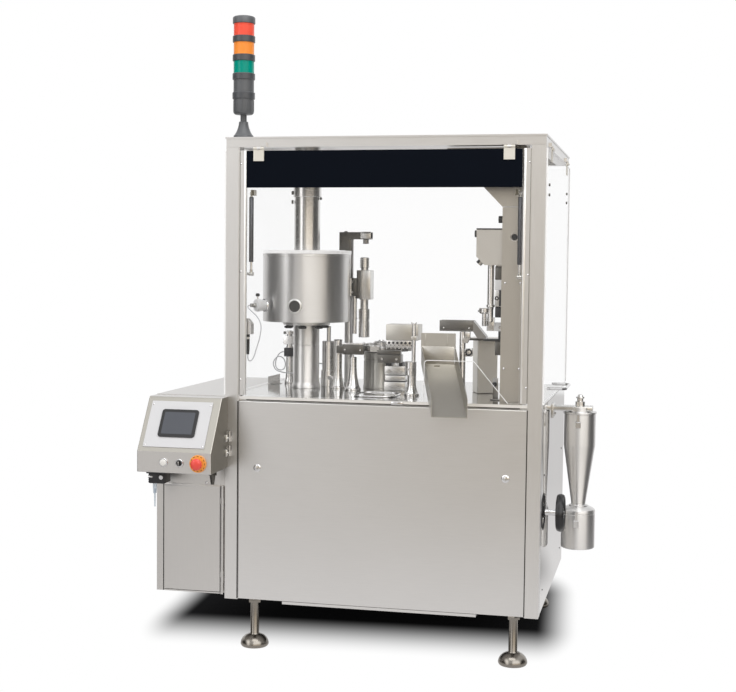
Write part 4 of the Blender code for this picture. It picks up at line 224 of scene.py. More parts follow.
def finish(name):
    """A new material with its node tree and its shader."""
    material = bpy.data.materials.new(name)
    material.use_nodes = True
    return material, material.node_tree, material.node_tree.nodes["Principled BSDF"]


def scaled(colour, factor):
    """A hex colour made lighter or darker, as linear values."""
    return (*[min(1.0, part * factor) for part in linear(colour)[:3]], 1.0)


LINE_STRETCH = 60.0


def steel(name, colour, roughness, grain_mm, along, uneven=0.03, clouding=0.02, anisotropy=0.0, relief=0.03):
    """Stainless steel with fine lines that run along the named axes, and faint clouding. The
    real grit leaves lines about 0.1 mm apart, drawn several times coarser so that they show."""
    material, tree, shader = finish(name)
    place = add(tree, "TexCoord")
    across = 1000.0 / grain_mm
    stretch = [across / LINE_STRETCH if axis in along else across for axis in "XYZ"]
    spot = add(tree, "Mapping", {"Vector": place.outputs["Object"], "Scale": stretch})
    lines = add(tree, "TexNoise", {"Vector": spot.outputs[0], "Scale": 1.0, "Detail": 3.0, "Roughness": 0.6})
    clouds = add(tree, "TexNoise", {"Vector": place.outputs["Object"], "Scale": 3.2, "Detail": 2.0})
    rough = add(tree, "MapRange", {"Value": lines.outputs["Fac"], "From Min": 0.3, "From Max": 0.7,
                                   "To Min": roughness - uneven, "To Max": roughness + uneven})
    cloudy = add(tree, "Mix", {"Factor": clouds.outputs["Fac"], "A": scaled(colour, 1 - clouding),
                               "B": scaled(colour, 1 + clouding)}, data_type="RGBA")
    streak = add(tree, "MapRange", {"Value": lines.outputs["Fac"], "From Min": 0.25, "From Max": 0.75,
                                    "To Min": 0.97, "To Max": 1.02})
    tint = add(tree, "VectorMath", {0: cloudy.outputs["Result"], "Scale": streak.outputs[0]}, operation="SCALE")
    ridges = add(tree, "Bump", {"Height": lines.outputs["Fac"], "Strength": relief, "Distance": 0.0002})
    tree.links.new(tint.outputs[0], shader.inputs["Base Color"])
    tree.links.new(rough.outputs[0], shader.inputs["Roughness"])
    tree.links.new(ridges.outputs[0], shader.inputs["Normal"])
    shader.inputs["Metallic"].default_value = 1.0
    if anisotropy:
        shader.inputs["Anisotropic"].default_value = anisotropy
        shader.inputs["Anisotropic Rotation"].default_value = 0.25
        round_about = add(tree, "Tangent", direction_type="RADIAL", axis="Z")
        tree.links.new(round_about.outputs[0], shader.inputs["Tangent"])
    return material


def dress(material, *names):
    """Give CAD nodes a finish."""
    for name in names:
        piece = nodes[name]
        piece.data.materials.clear()
        piece.data.materials.append(material)


def break_edges(width, *names):
    """A small rounded edge on CAD nodes, as folded and deburred sheet has."""
    for name in names:
        bevel = nodes[name].modifiers.new("deburred_edges", "BEVEL")
        bevel.width = width
        bevel.segments = 2
        bevel.limit_method = "ANGLE"
        bevel.angle_limit = radians(40)


def dress_where(name, material, test):
    """Give some faces of a CAD node another finish, chosen by where they are and how they face."""
    piece = nodes[name]
    piece.data.materials.append(material)
    slot = len(piece.data.materials) - 1
    matrix = piece.matrix_world
    for polygon in piece.data.polygons:
        if test(matrix @ polygon.center - ORIGIN, (matrix.to_3x3() @ polygon.normal).normalized()):
            polygon.material_index = slot


def make_mesh(name, shape, materials, body="machine", smooth=35.0):
    """Put a finished bmesh in the scene with its materials, riding on a CAD body."""
    mesh = bpy.data.meshes.new(name)
    bmesh.ops.recalc_face_normals(shape, faces=shape.faces)
    shape.to_mesh(mesh)
    shape.free()
    mesh.shade_smooth()
    mesh.set_sharp_from_angle(angle=radians(smooth))
    piece = in_scene(name, mesh)
    for material in materials if isinstance(materials, (list, tuple)) else [materials]:
        mesh.materials.append(material)
    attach(piece, body)
    return piece


def stands_for(piece, node):
    """The piece is shown in place of a CAD node, which is hidden."""
    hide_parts(node)
    return piece


def spin(shape, profile, centre, axis=(0, 0, 1), sides=48, paint=0):
    """Turn a profile of (radius, height) round an axis, as a lathe does."""
    axis = Vector(axis).normalized()
    side = axis.orthogonal().normalized()
    other = axis.cross(side)
    poles = {spot: shape.verts.new(centre + axis * height)
             for spot, (radius, height) in enumerate(profile) if radius < 1e-7}
    rings = []
    for index in range(sides):
        angle = 2 * pi * index / sides
        out = side * cos(angle) + other * sin(angle)
        rings.append([poles.get(spot) or shape.verts.new(centre + out * radius + axis * height)
                      for spot, (radius, height) in enumerate(profile)])
    count = len(profile)
    spans = count if not poles else count - 1
    for index in range(sides):
        here, there = rings[index], rings[(index + 1) % sides]
        for spot in range(spans):
            follow = (spot + 1) % count
            corners = list(dict.fromkeys([here[spot], here[follow], there[follow], there[spot]]))
            if len(corners) > 2:
                shape.faces.new(corners).material_index = paint


def bar(shape, start, end, radius, end_radius=None, sides=32, chamfer=0.0006, paint=0):
    """A round bar or cone between two points, with its end edges broken."""
    run = end - start
    far = radius if end_radius is None else end_radius
    length = run.length
    spin(shape, [(0.0, length), (far - chamfer, length), (far, length - chamfer), (radius, chamfer),
                 (radius - chamfer, 0.0), (0.0, 0.0)], start, run, sides, paint)


def slab(shape, low, high, bevel=0.0006, paint=0):
    """A box between two corners with its edges broken."""
    low, high = Vector(low), Vector(high)
    corners = bmesh.ops.create_cube(shape, size=1.0)["verts"]
    bmesh.ops.scale(shape, verts=corners, vec=high - low)
    bmesh.ops.translate(shape, verts=corners, vec=(high + low) / 2)
    faces = {face for corner in corners for face in corner.link_faces}
    for face in faces:
        face.material_index = paint
    if bevel:
        edges = list({edge for corner in corners for edge in corner.link_edges})
        bmesh.ops.bevel(shape, geom=edges, offset=bevel, segments=2, affect="EDGES", profile=0.5, material=-1)


def prism(shape, outline, low, high, place, paint=0):
    """A flat outline swept from low to high. place turns its two values and the sweep into a point."""
    ends = [[shape.verts.new(place(u, v, sweep)) for u, v in outline] for sweep in (low, high)]
    count = len(outline)
    for index in range(count):
        follow = (index + 1) % count
        wall = shape.faces.new((ends[0][index], ends[0][follow], ends[1][follow], ends[1][index]))
        wall.material_index = paint
    shape.faces.new(ends[0]).material_index = paint
    shape.faces.new(ends[1]).material_index = paint


def screw(shape, spot, axis, radius, paint=0):
    """A socket-head screw: a low cylinder with a recess in its top."""
    high = radius * 1.1
    spin(shape, [(0.0, high * 0.45), (radius * 0.5, high * 0.45), (radius * 0.5, high), (radius * 0.86, high),
                 (radius, high * 0.84), (radius, 0.0), (0.0, 0.0)], spot, axis, 16, paint)


def dome(shape, spot, axis, radius, paint=0):
    """A low dome-headed rivet or button screw."""
    spin(shape, [(0.0, radius * 0.5), (radius * 0.45, radius * 0.44), (radius * 0.8, radius * 0.24),
                 (radius, 0.0), (0.0, 0.0)], spot, axis, 16, paint)


# Belt-ground sheet: a satin grey with hairlines and blurred reflections.
ground_upright = steel("belt_ground_304_upright", "#dcdbda", 0.34, 0.9, "Z")
ground_level = steel("belt_ground_304_level", "#dddcdb", 0.32, 0.9, "X")
dress(ground_level, "front_panel")
dress(ground_upright, "base_cabinet", "post_left", "post_right")
break_edges(0.0025, "front_panel")
break_edges(0.0015, "post_left", "post_right")

# Mill-bright sheet: nearly a mirror, in which the cyclone and the wheel can be seen.
mirror_sheet = steel("mill_bright_304", "#e9e9e9", 0.07, 1.6, "Z", uneven=0.015)
# The sheet bows outward a little, so it mirrors what stands beside it: its normals lean forward.
LEAN = (0.0, -0.165, 0.0)
tree = mirror_sheet.node_tree
straight = add(tree, "NewGeometry")
leaning = add(tree, "VectorMath", {0: straight.outputs["Normal"], 1: LEAN}, operation="ADD")
bowed = add(tree, "VectorMath", {0: leaning.outputs[0]}, operation="NORMALIZE")
tree.links.new(bowed.outputs[0], tree.nodes["Bump"].inputs["Normal"])
dress(mirror_sheet, "right_side_panel")

# Bright plating: sharp reflections, faint handling marks.
plating = steel("bright_chrome_plate", "#dcdcdd", 0.09, 2.5, "X", uneven=0.02)

panel_screws = bmesh.new()
for y, z in ((0.127, 0.647), (0.845, 0.647), (0.127, 0.25), (0.845, 0.25)):
    dome(panel_screws, at(0.55, y, z), (1, 0, 0), 0.0065)
make_mesh("side_panel_screws", panel_screws, plating)

strip_screws = bmesh.new()
for side in (-1, 1):
    for height in (0.954, 1.329, 1.699):
        dome(strip_screws, at(side * 0.4965, 0.0015, height), (0, -1, 0), 0.0034)
make_mesh("rebate_strip_screws", strip_screws, plating)

# The rolled strip that the front guard closes against, its brightness partly painted highlight,
# with a strip of painted shade in the seam beside it.
closing_strip = bmesh.new()
for side in (-1, 1):
    inner, outer = sorted((side * 0.478, side * 0.485))
    slab(closing_strip, at(inner, -0.0012, 0.9015), at(outer, 0.002, 1.744), 0.001)
    inner, outer = sorted((side * 0.4995, side * 0.5012))
    slab(closing_strip, at(inner, -0.0004, 0.9015), at(outer, 0.002, 1.744), 0.0003, paint=1)
# Rolled strip: almost white with a soft gloss, partly painted highlight. The seam beside it is
# painted dull and dark as shade.
bright_strip_painted_highlight = steel("rolled_bright_304_strip", "#f4f4f3", 0.3, 1.0, "Z")
seam_painted_shade = steel("seam_painted_shade_304", "#7b7974", 0.45, 1.0, "Z")
make_mesh("guard_closing_strips", closing_strip, [bright_strip_painted_highlight, seam_painted_shade])

# The gaps beside the front panel, and the bright folded edge along its top, partly painted
# highlight. The sheet deep in a gap is folded steel as well, but hardly any light gets there, so
# it is painted nearly black as shade.
gap_painted_shade = steel("folded_304_gap_painted_shade", "#2e2d2b", 0.6, 1.0, "Z")
seams = bmesh.new()
for low, high in ((-0.5062, -0.5036), (0.501, 0.5036)):
    slab(seams, at(low, -0.0004, 0.1835), at(high, 0.003, 0.878), 0.0002)
make_mesh("panel_shadow_gaps", seams, gap_painted_shade)
panel_fold = bmesh.new()
slab(panel_fold, at(-0.5, 0.0008, 0.8752), at(0.5, 0.006, 0.8782), 0.0008)
make_mesh("front_panel_fold", panel_fold, bright_strip_painted_highlight, "front_panel_body")

# Quarter-turn latches: chromed, with a finger bar across a round seat.
LATCH_PROFILE = [(0.0, 0.0042), (0.0085, 0.0042), (0.011, 0.0034), (0.013, 0.0022), (0.0132, 0.0003), (0.005, 0.0003),
                 (0.005, -0.0155), (0.0, -0.0155)]
for side, name in ((-1, "left"), (1, "right")):
    latch = bmesh.new()
    seat = at(side * 0.433, 0.002, 0.647)
    spin(latch, LATCH_PROFILE, seat, (0, -1, 0), 32)
    slab(latch, seat + Vector((-0.0024, -0.0128, -0.0095)), seat + Vector((0.0024, -0.003, 0.0095)), 0.0018)
    stands_for(make_mesh("latch_turned_" + name, latch, plating, "latch_" + name + "_body"), "latch_" + name)

# The catch that shows under the worktop's front edge.
catch = bmesh.new()
slab(catch, at(0.04, -0.003, 0.8835), at(0.081, 0.0035, 0.8945), 0.0022)
bar(catch, at(0.0605, -0.0026, 0.889), at(0.0605, -0.0052, 0.889), 0.0034, chamfer=0.0005)
make_mesh("worktop_catch", catch, plating)


# Worktop
# A 10 mm stainless plate, milled along its edges and polished by hand, which is bolted down on
# the cabinet's rim. The stations stand on it and mirror in it.

# Top: a nearly sharp mirror with faint lines. Edge: soft, from the milling cutter, and bright,
# partly as painted highlight.
polished_plate = steel("hand_polished_304_plate", "#b4b3b1", 0.11, 1.2, "X", uneven=0.02)
milled_edge_painted_highlight = steel("milled_304_edge_painted_highlight", "#f6f5f3", 0.42, 0.8, "X")
dress(polished_plate, "worktop")
dress_where("worktop", milled_edge_painted_highlight, lambda spot, facing: facing.y < -0.7 and spot.y < 0.02)
break_edges(0.0014, "worktop")

# A loose stadium-shaped pan with a raised rim, left lying in front of the turret.
PAN_LOW, PAN_HIGH, PAN_CORNER = (-0.122, 0.105), (0.026, 0.262), 0.04


def rounded(low, high, corner, count=8):
    """Points round a rectangle with round corners, anticlockwise from the lower right."""
    spots = []
    for x, y, start in ((high[0] - corner, low[1] + corner, -90), (high[0] - corner, high[1] - corner, 0),
                        (low[0] + corner, high[1] - corner, 90), (low[0] + corner, low[1] + corner, 180)):
        for index in range(count + 1):
            angle = radians(start + 90 * index / count)
            spots.append((x + corner * cos(angle), y + corner * sin(angle)))
    return spots


def wire(name, points, radius, material, body="machine", closed=False, sides=4):
    """A round wire, rod or cable along the points, as a curve with a round bevel."""
    line = bpy.data.curves.new(name, "CURVE")
    line.dimensions = "3D"
    line.bevel_depth = radius
    line.bevel_resolution = sides
    line.use_fill_caps = True
    run = line.splines.new("POLY")
    run.points.add(len(points) - 1)
    for spot, point in zip(run.points, points):
        spot.co = (*point, 1.0)
    run.use_cyclic_u = closed
    run.use_smooth = True
    piece = in_scene(name, line)
    line.materials.append(material)
    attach(piece, body)
    return piece


pan = bmesh.new()
prism(pan, rounded(PAN_LOW, PAN_HIGH, PAN_CORNER), 0.8965, 0.8985, at)
make_mesh("loose_pan", pan, polished_plate)
wire("loose_pan_rim", [at(x, y, 0.8995) for x, y in rounded(PAN_LOW, PAN_HIGH, PAN_CORNER)], 0.0024, plating,
     closed=True)

# A bent sheet bracket left standing near the left edge.
bracket = bmesh.new()
slab(bracket, at(-0.547, 0.49, 0.8965), at(-0.501, 0.54, 0.8985), 0.0005)
prism(bracket, [(-0.543, 0.8987), (-0.496, 0.8987), (-0.496, 0.937), (-0.543, 0.925)], 0.488, 0.49,
      lambda u, v, w: at(u, w, v))
prism(bracket, [(-0.548, 0.8987), (-0.535, 0.8987), (-0.535, 0.917), (-0.548, 0.923)], 0.54, 0.542,
      lambda u, v, w: at(u, w, v))
make_mesh("loose_bracket", bracket, polished_plate)


# Feet
# Turned stainless levelling feet on round pads. Each screws into the cabinet's floor and is
# held by a hexagonal lock nut.

FOOT_PROFILE = [
    (0.0, 0.1797), (0.026, 0.1797), (0.027, 0.1787), (0.027, 0.1727), (0.026, 0.1717), (0.0152, 0.1717),
    (0.0152, 0.046), (0.017, 0.043), (0.026, 0.0405), (0.035, 0.0355), (0.043, 0.028), (0.048, 0.019), (0.05, 0.011),
    (0.05, 0.007), (0.047, 0.0015), (0.045, 0.0), (0.0, 0.0)]
# Turned: rings round the axis spread each highlight, and the metal is a little dull.
foot_steel = steel("turned_304_foot", "#8d8881", 0.2, 0.8, "XY", uneven=0.02, anisotropy=0.5)
for end in ("front", "rear"):
    for side in ("left", "right"):
        name = "foot_" + end + "_" + side
        low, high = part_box(name)
        foot = bmesh.new()
        middle = Vector(((low.x + high.x) / 2, (low.y + high.y) / 2, 0.0))
        spin(foot, FOOT_PROFILE, middle, sides=64)
        spin(foot, [(0.0, 0.1717), (0.0225, 0.1717), (0.0235, 0.169), (0.0235, 0.16), (0.0225, 0.157), (0.0, 0.157)],
             middle, sides=6)
        stands_for(make_mesh(name + "_turned", foot, foot_steel), name)


# Roof
# A folded stainless tray over a welded ring of beams, belt-ground like the cabinet. It rests
# on the two posts and two columns, and carries the guards' hinge blocks along its edge.

dress(ground_level, "roof")
break_edges(0.001, "roof")


# Guards
# Four guards of clear cast acrylic sheet, 5 mm thick and flame-polished at the edges. Each
# hangs from the roof on two moulded nylon hinges and opens upwards.

def acrylic(name, colour, alpha, roughness=0.04):
    """Clear sheet: most light goes through, the rest is a soft reflection with faint smears."""
    material, tree, shader = finish(name)
    place = add(tree, "TexCoord")
    smears = add(tree, "TexNoise", {"Vector": place.outputs["Object"], "Scale": 6.0, "Detail": 4.0})
    haze = add(tree, "MapRange", {"Value": smears.outputs["Fac"], "To Min": alpha * 0.8, "To Max": alpha * 1.2})
    tree.links.new(haze.outputs[0], shader.inputs["Alpha"])
    shader.inputs["Base Color"].default_value = linear(colour)
    shader.inputs["Roughness"].default_value = roughness
    shader.inputs["IOR"].default_value = 1.49
    return material


def plain(name, colour, roughness=0.35, uneven=0.02, grain_mm=1.2, metallic=0.0, dimple=0.02, specular=0.5):
    """Paint or moulded plastic: one colour with a faint orange peel and cloudy sheen. The real
    grain is 0.2 to 0.4 mm, drawn coarser so that it shows."""
    material, tree, shader = finish(name)
    place = add(tree, "TexCoord")
    peel = add(tree, "TexNoise", {"Vector": place.outputs["Object"], "Scale": 1000.0 / grain_mm, "Detail": 2.0})
    clouds = add(tree, "TexNoise", {"Vector": place.outputs["Object"], "Scale": 9.0, "Detail": 3.0})
    hue = add(tree, "Mix", {"Factor": clouds.outputs["Fac"], "A": scaled(colour, 1 - 3 * uneven),
                            "B": scaled(colour, 1 + 3 * uneven)}, data_type="RGBA")
    sheen = add(tree, "MapRange", {"Value": clouds.outputs["Fac"], "To Min": roughness - 0.04,
                                   "To Max": roughness + 0.05})
    dimples = add(tree, "Bump", {"Height": peel.outputs["Fac"], "Strength": dimple, "Distance": 0.0003})
    tree.links.new(hue.outputs["Result"], shader.inputs["Base Color"])
    tree.links.new(sheen.outputs[0], shader.inputs["Roughness"])
    tree.links.new(dimples.outputs[0], shader.inputs["Normal"])
    shader.inputs["Metallic"].default_value = metallic
    shader.inputs["Specular IOR Level"].default_value = specular
    return material


# The sheets are all but invisible, and white along their edges, where they collect light.
front_sheet = acrylic("cast_acrylic_sheet", "#ffffff", 0.015)
side_sheet = acrylic("cast_acrylic_side_sheet", "#e9eef1", 0.055)
sheet_edge = acrylic("flame_polished_acrylic_edge", "#ffffff", 0.92, 0.35)
# Hinges: milky and matt. Handle: bright drawn rod, with streaks along it.
nylon = plain("moulded_natural_nylon", "#dedad0", 0.45)
guard_rod = steel("drawn_bright_304_rod", "#d0d0d0", 0.14, 2.0, "Y")
SHEET = 0.005
HANDLE_TOP = 1.2
for name, face in (("front_guard", front_sheet), ("rear_guard", front_sheet),
                   ("left_guard", side_sheet), ("right_guard", side_sheet)):
    sheet_mesh = nodes[name].data
    sheet_mesh.materials.clear()
    for material in (face, sheet_edge, nylon, guard_rod):
        sheet_mesh.materials.append(material)
    low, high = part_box(name)
    thin = 0 if "left" in name or "right" in name else 1
    inner = {"front_guard": at(0, -0.001, 0).y, "rear_guard": at(0, 0.966, 0).y,
             "left_guard": at(-0.551, 0, 0).x, "right_guard": at(0.551, 0, 0).x}[name]
    outer = inner + (SHEET if name in ("rear_guard", "right_guard") else -SHEET)
    edge_low, edge_high = min(inner, outer) - 0.0002, max(inner, outer) + 0.0002
    matrix = nodes[name].matrix_world
    for polygon in sheet_mesh.polygons:
        corners = [matrix @ sheet_mesh.vertices[index].co for index in polygon.vertices]
        depths = [corner[thin] for corner in corners]
        if min(depths) < edge_low or max(depths) > edge_high:
            polygon.material_index = 3 if corners[0].z < HANDLE_TOP else 2
        else:
            polygon.material_index = 1 if max(depths) - min(depths) > 0.001 else 0

# The sawn and polished edge of the cut-out catches the light as a thin white line.
CUT_EDGE = [(0.1538, 0.9015), (0.1538, 1.026), (0.1547, 1.0306), (0.1573, 1.0345), (0.1612, 1.0371), (0.1658, 1.038),
            (0.3218, 1.038), (0.4368, 0.9012)]
wire("guard_cutout_edge", [at(x, -0.0062, z) for x, z in CUT_EDGE], 0.0013, sheet_edge, "front_guard_body")

# Screws through the hinge leaves, and the stiffener screws of the right guard.
guard_screws = bmesh.new()
for y, z in ((0.042, 1.627), (0.042, 1.594), (0.779, 1.636), (0.779, 1.602)):
    screw(guard_screws, at(0.556, y, z), (1, 0, 0), 0.0048)
make_mesh("right_guard_screws", guard_screws, steel("oxidised_steel_screw", "#77756f", 0.35, 1.0, "Z"),
          "right_guard_body")

# Header band behind the front guard: near-black navy enamel, matt, with no lettering.
header_paint = plain("stoved_navy_enamel", "#070c15", 0.55, specular=0.05, uneven=0.05)
dress(header_paint, "header_band")
break_edges(0.0006, "header_band")

# The seal under the worktop's front edge: matt grey rubber.
gasket = bmesh.new()
slab(gasket, at(-0.476, 0.0048, 0.8822), at(0.476, 0.011, 0.8858), 0.0006)
make_mesh("worktop_gasket", gasket, plain("extruded_grey_epdm", "#4b4946", 0.6))


# Gas springs
# Two springs that hold the front guard open: a painted steel tube with a rolled end and a
# chromed rod, each with a plated fitting on a ball stud.

# Dark grey paint with a metal gleam. Fittings: pale and softly shiny, from the zinc bath.
SPRING_Y = 0.022
tube_paint = plain("phosphated_grey_tube", "#55565a", 0.3, metallic=0.75)
fitting = steel("zinc_plated_fitting", "#c4c3bf", 0.25, 1.2, "X")
for side, name in ((-1, "left"), (1, "right")):
    x = side * 0.4655
    tube = bmesh.new()
    spin(tube, [(0.0, 1.587), (0.0048, 1.587), (0.0068, 1.5862), (0.0078, 1.584), (0.0078, 1.365), (0.0072, 1.3626),
                (0.006, 1.362), (0.0044, 1.362), (0.0044, 1.558), (0.0, 1.558)], at(x, SPRING_Y, 0.0), sides=32)
    bar(tube, at(x - 0.004, SPRING_Y, 1.598), at(x + 0.004, SPRING_Y, 1.598), 0.0065, paint=1)
    bar(tube, at(x, SPRING_Y, 1.5865), at(x, SPRING_Y, 1.598), 0.004, chamfer=0.0002, paint=1)
    stands_for(make_mesh("gas_tube_painted_" + name, tube, [tube_paint, fitting], "gas_tube_" + name + "_body"),
               "gas_tube_" + name)
    piston = bmesh.new()
    bar(piston, at(x, SPRING_Y, 1.327), at(x, SPRING_Y, 1.538), 0.004)
    bar(piston, at(x - 0.0085, SPRING_Y, 1.321), at(x + 0.0085, SPRING_Y, 1.321), 0.0064, paint=1)
    bar(piston, at(x, SPRING_Y, 1.324), at(x, SPRING_Y, 1.336), 0.0052, chamfer=0.0006, paint=1)
    stands_for(make_mesh("gas_rod_polished_" + name, piston, [plating, fitting], "gas_rod_" + name + "_body"),
               "gas_rod_" + name)


# Signal tower
# Stacked polycarbonate modules on a moulded foot, with a dark ring between each pair. The
# lenses are ribbed inside, so their light breaks into upright bands.

# Foot and cap: mid grey with a fine matt grain. The rings between are darker and smoother.
moulded_grey = plain("moulded_grey_abs", "#5a5c5f", 0.4, grain_mm=0.9)
ring_grey = plain("moulded_dark_grey_abs", "#4a4c50", 0.34, grain_mm=0.9)


def lens_plastic(name, colour):
    """Tinted polycarbonate with upright ribs, and a soft painted glow that stands for the room's light behind it."""
    material = plain(name, colour, 0.16, uneven=0.03, specular=0.25)
    shader = material.node_tree.nodes["Principled BSDF"]
    shader.inputs["Subsurface Weight"].default_value = 0.25
    shader.inputs["Subsurface Radius"].default_value = (0.012, 0.012, 0.012)
    shader.inputs["Emission Color"].default_value = linear(colour)
    shader.inputs["Emission Strength"].default_value = 0.12
    return material


TOWER = at(-0.508, 0.06, 1.7913)
TOWER_RADIUS = 0.0355
LENS_HEIGHT = 0.0418
LENS_RIBS = 30
RIB_DEPTH = 0.0009


def ribbed_lens(shape, base, high):
    """The lens wall: fine upright ribs round it, plain at both ends."""
    steps = LENS_RIBS * 2
    for index in range(steps):
        angle, follow = 2 * pi * index / steps, 2 * pi * (index + 1) / steps
        radii = (TOWER_RADIUS, TOWER_RADIUS - RIB_DEPTH)
        if index % 2 == 0:
            radii = radii[::-1]
        wall = []
        for turn, radius in ((angle, radii[0]), (follow, radii[1])):
            out = Vector((cos(turn) * radius, sin(turn) * radius, 0.0))
            wall.append((shape.verts.new(base + out), shape.verts.new(base + out + Vector((0, 0, high)))))
        shape.faces.new((wall[0][0], wall[1][0], wall[1][1], wall[0][1]))
    bmesh.ops.remove_doubles(shape, verts=shape.verts, dist=0.00001)
    bmesh.ops.contextual_create(shape, geom=[
        edge for edge in shape.edges
        if edge.is_boundary and all(abs(end.co.z - base.z) < 1e-5 for end in edge.verts)])
    bmesh.ops.contextual_create(shape, geom=[edge for edge in shape.edges if edge.is_boundary])


foot = bmesh.new()
spin(foot, [(0.0, 0.224), (0.035, 0.224), (0.0375, 0.224), (0.039, 0.2225), (0.039, 0.2035), (0.0372, 0.202),
            (0.0355, 0.2015), (0.0355, 0.1592), (0.0374, 0.1585), (0.039, 0.1573), (0.039, 0.1367), (0.0374, 0.1355),
            (0.0355, 0.1348), (0.0355, 0.09), (0.0344, 0.0868), (0.03, 0.083), (0.0118, 0.0825), (0.011, 0.0815),
            (0.011, 0.0595), (0.0118, 0.0585), (0.016, 0.057), (0.0165, 0.05), (0.018, 0.0425), (0.0208, 0.033),
            (0.0245, 0.0235), (0.029, 0.0155), (0.0325, 0.011), (0.034, 0.01), (0.0345, 0.009), (0.0345, 0.0),
            (0.0, 0.0)], TOWER, sides=64)
BUZZER_RIBS = 12
for index in range(BUZZER_RIBS):
    angle = 2 * pi * index / BUZZER_RIBS + 0.13
    rib = TOWER + Vector((cos(angle), sin(angle), 0.0)) * 0.0352
    slab(foot, rib + Vector((-0.0014, -0.0014, 0.0925)), rib + Vector((0.0014, 0.0014, 0.131)), 0.0006)
stands_for(make_mesh("tower_foot_moulded", foot, moulded_grey), "tower_base")
rings = bmesh.new()
for low, high in ((0.1362, 0.1578), (0.2032, 0.2228)):
    spin(rings, [(0.0386, low), (0.0392, low + 0.0008), (0.0392, high - 0.0008), (0.0386, high), (0.038, high),
                 (0.038, low)], TOWER, sides=64)
make_mesh("tower_foot_rings", rings, ring_grey)
MODULE_HEIGHT = 0.0641
level = 0.2243
for name, colour in (("green", "#00917f"), ("orange", "#f49442"), ("red", "#ec5a47")):
    lens = bmesh.new()
    base = TOWER + Vector((0, 0, level))
    ribbed_lens(lens, base, LENS_HEIGHT)
    if name != "red":
        spin(lens, [(0.0, 0.0638), (0.0375, 0.0638), (0.039, 0.0623), (0.039, 0.0433), (0.0378, 0.042), (0.0, 0.042)],
             base, sides=64, paint=1)
    stands_for(make_mesh("tower_lens_ribbed_" + name, lens, [lens_plastic(name + "_polycarbonate", colour),
                                                             ring_grey]), "tower_lens_" + name)
    level += MODULE_HEIGHT
cap = bmesh.new()
spin(cap, [(0.0, 0.0269), (0.018, 0.0267), (0.028, 0.026), (0.0345, 0.0243), (0.0376, 0.022), (0.039, 0.019),
           (0.039, 0.0012), (0.0378, 0.0), (0.0, 0.0)], TOWER + Vector((0, 0, 0.3946)), sides=64)
stands_for(make_mesh("tower_cap_moulded", cap, moulded_grey), "tower_cap")


# Electrics cabinet and operator console
# Folded stainless boxes. The console hangs on two hinges and carries an overlay plate with a
# framed screen, and a start button, a key switch and a mushroom stop below it.

# Ground like the cabinet, with the slope's grain running across. The slope and the end are
# painted darker than the rest as shade, the end darkest, so the slope looks paler and warmer than
# the end. The hose nipple below is coloured dark.
console_steel = steel("belt_ground_304_console", "#cfcdcb", 0.36, 0.9, "Z")
dress(console_steel, "electrics_cabinet", "electrics_door", "console_housing")
break_edges(0.002, "electrics_cabinet", "electrics_door")
nickel = steel("dark_metal_fitting", "#5c5a56", 0.22, 1.2, "X")
end_painted_shade = steel("belt_ground_304_end_painted_shade", "#7f7d78", 0.38, 0.9, "Z")
slope_painted_shade = steel("belt_ground_304_slope_painted_shade", "#aaa7a0", 0.42, 0.9, "X")
dress_where("console_housing", slope_painted_shade, lambda spot, facing: facing.y < -0.5 and facing.z > 0.3)
dress_where("console_housing", nickel, lambda spot, facing: spot.z < 0.6436)
dress_where("console_housing", end_painted_shade, lambda spot, facing: facing.x > 0.9 and spot.x > -0.5395)
# Anodised aluminium plate: pale, even and matt, with no lettering.
overlay = plain("anodised_aluminium_plate", "#d3d3d5", 0.34, uneven=0.01)
dress(overlay, "operator_panel")

SLANT_FOOT = Vector((0.0, -0.18, 0.716))
SLANT_UP = Vector((0.0, 0.11, 0.17)).normalized()
SLANT_OUT = Vector((0.0, -SLANT_UP.z, SLANT_UP.y))
PLATE_LIFT = 0.0023


def slant(x, up, out=PLATE_LIFT):
    """A place on the console's slanted face: across, up the slope from its foot, and out."""
    spot = SLANT_FOOT + SLANT_UP * up + SLANT_OUT * out
    return at(x, spot.y, spot.z)


# Frame: black with a soft gloss. Screen: switched off, dark grey and smooth.
black_frame = plain("moulded_black_nylon", "#1b1b1d", 0.36)
screen_face = plain("etched_screen_glass", "#50535a", 0.16, uneven=0.01, dimple=0.005)
screen = bmesh.new()
SCREEN_LOW, SCREEN_HIGH = (-0.742, 0.0545), (-0.61, 0.1595)

SCREEN_BORDER = 0.011
prism(screen, rounded(SCREEN_LOW, SCREEN_HIGH, 0.01), PLATE_LIFT + 0.0003, PLATE_LIFT + 0.0036, slant)
glass_low = (SCREEN_LOW[0] + SCREEN_BORDER, SCREEN_LOW[1] + SCREEN_BORDER)
glass_high = (SCREEN_HIGH[0] - SCREEN_BORDER, SCREEN_HIGH[1] - SCREEN_BORDER)
prism(screen, rounded(glass_low, glass_high, 0.003), PLATE_LIFT + 0.003, PLATE_LIFT + 0.0041, slant, paint=1)
stands_for(make_mesh("touch_screen_framed", screen, [black_frame, screen_face], "console_body"), "touch_screen")

plate_screws = bmesh.new()
for x in (-0.781, -0.574):
    for up in (0.0245, 0.179):
        dome(plate_screws, slant(x, up), SLANT_OUT, 0.0036)
make_mesh("operator_panel_screws", plate_screws, plating, "console_body")

# Controls in a row below the plate: a white start button, a key switch and a red mushroom stop
# on a yellow disc, all moulded and with the soft gloss of ABS.
FRONT_OUT = Vector((0, -1, 0))
START, KEY, STOP = at(-0.7085, -0.18, 0.68), at(-0.6515, -0.18, 0.68), at(-0.585, -0.18, 0.68)
start_ring = bmesh.new()
BEZEL = [(0.0116, 0.004), (0.012, 0.0052), (0.014, 0.0052), (0.015, 0.004), (0.015, 0.0), (0.0116, 0.0)]
spin(start_ring, BEZEL, START, FRONT_OUT, 40)
spin(start_ring, [(radius - 0.001, height) for radius, height in BEZEL], KEY, FRONT_OUT, 40)
make_mesh("control_rings", start_ring, plating, "console_body")

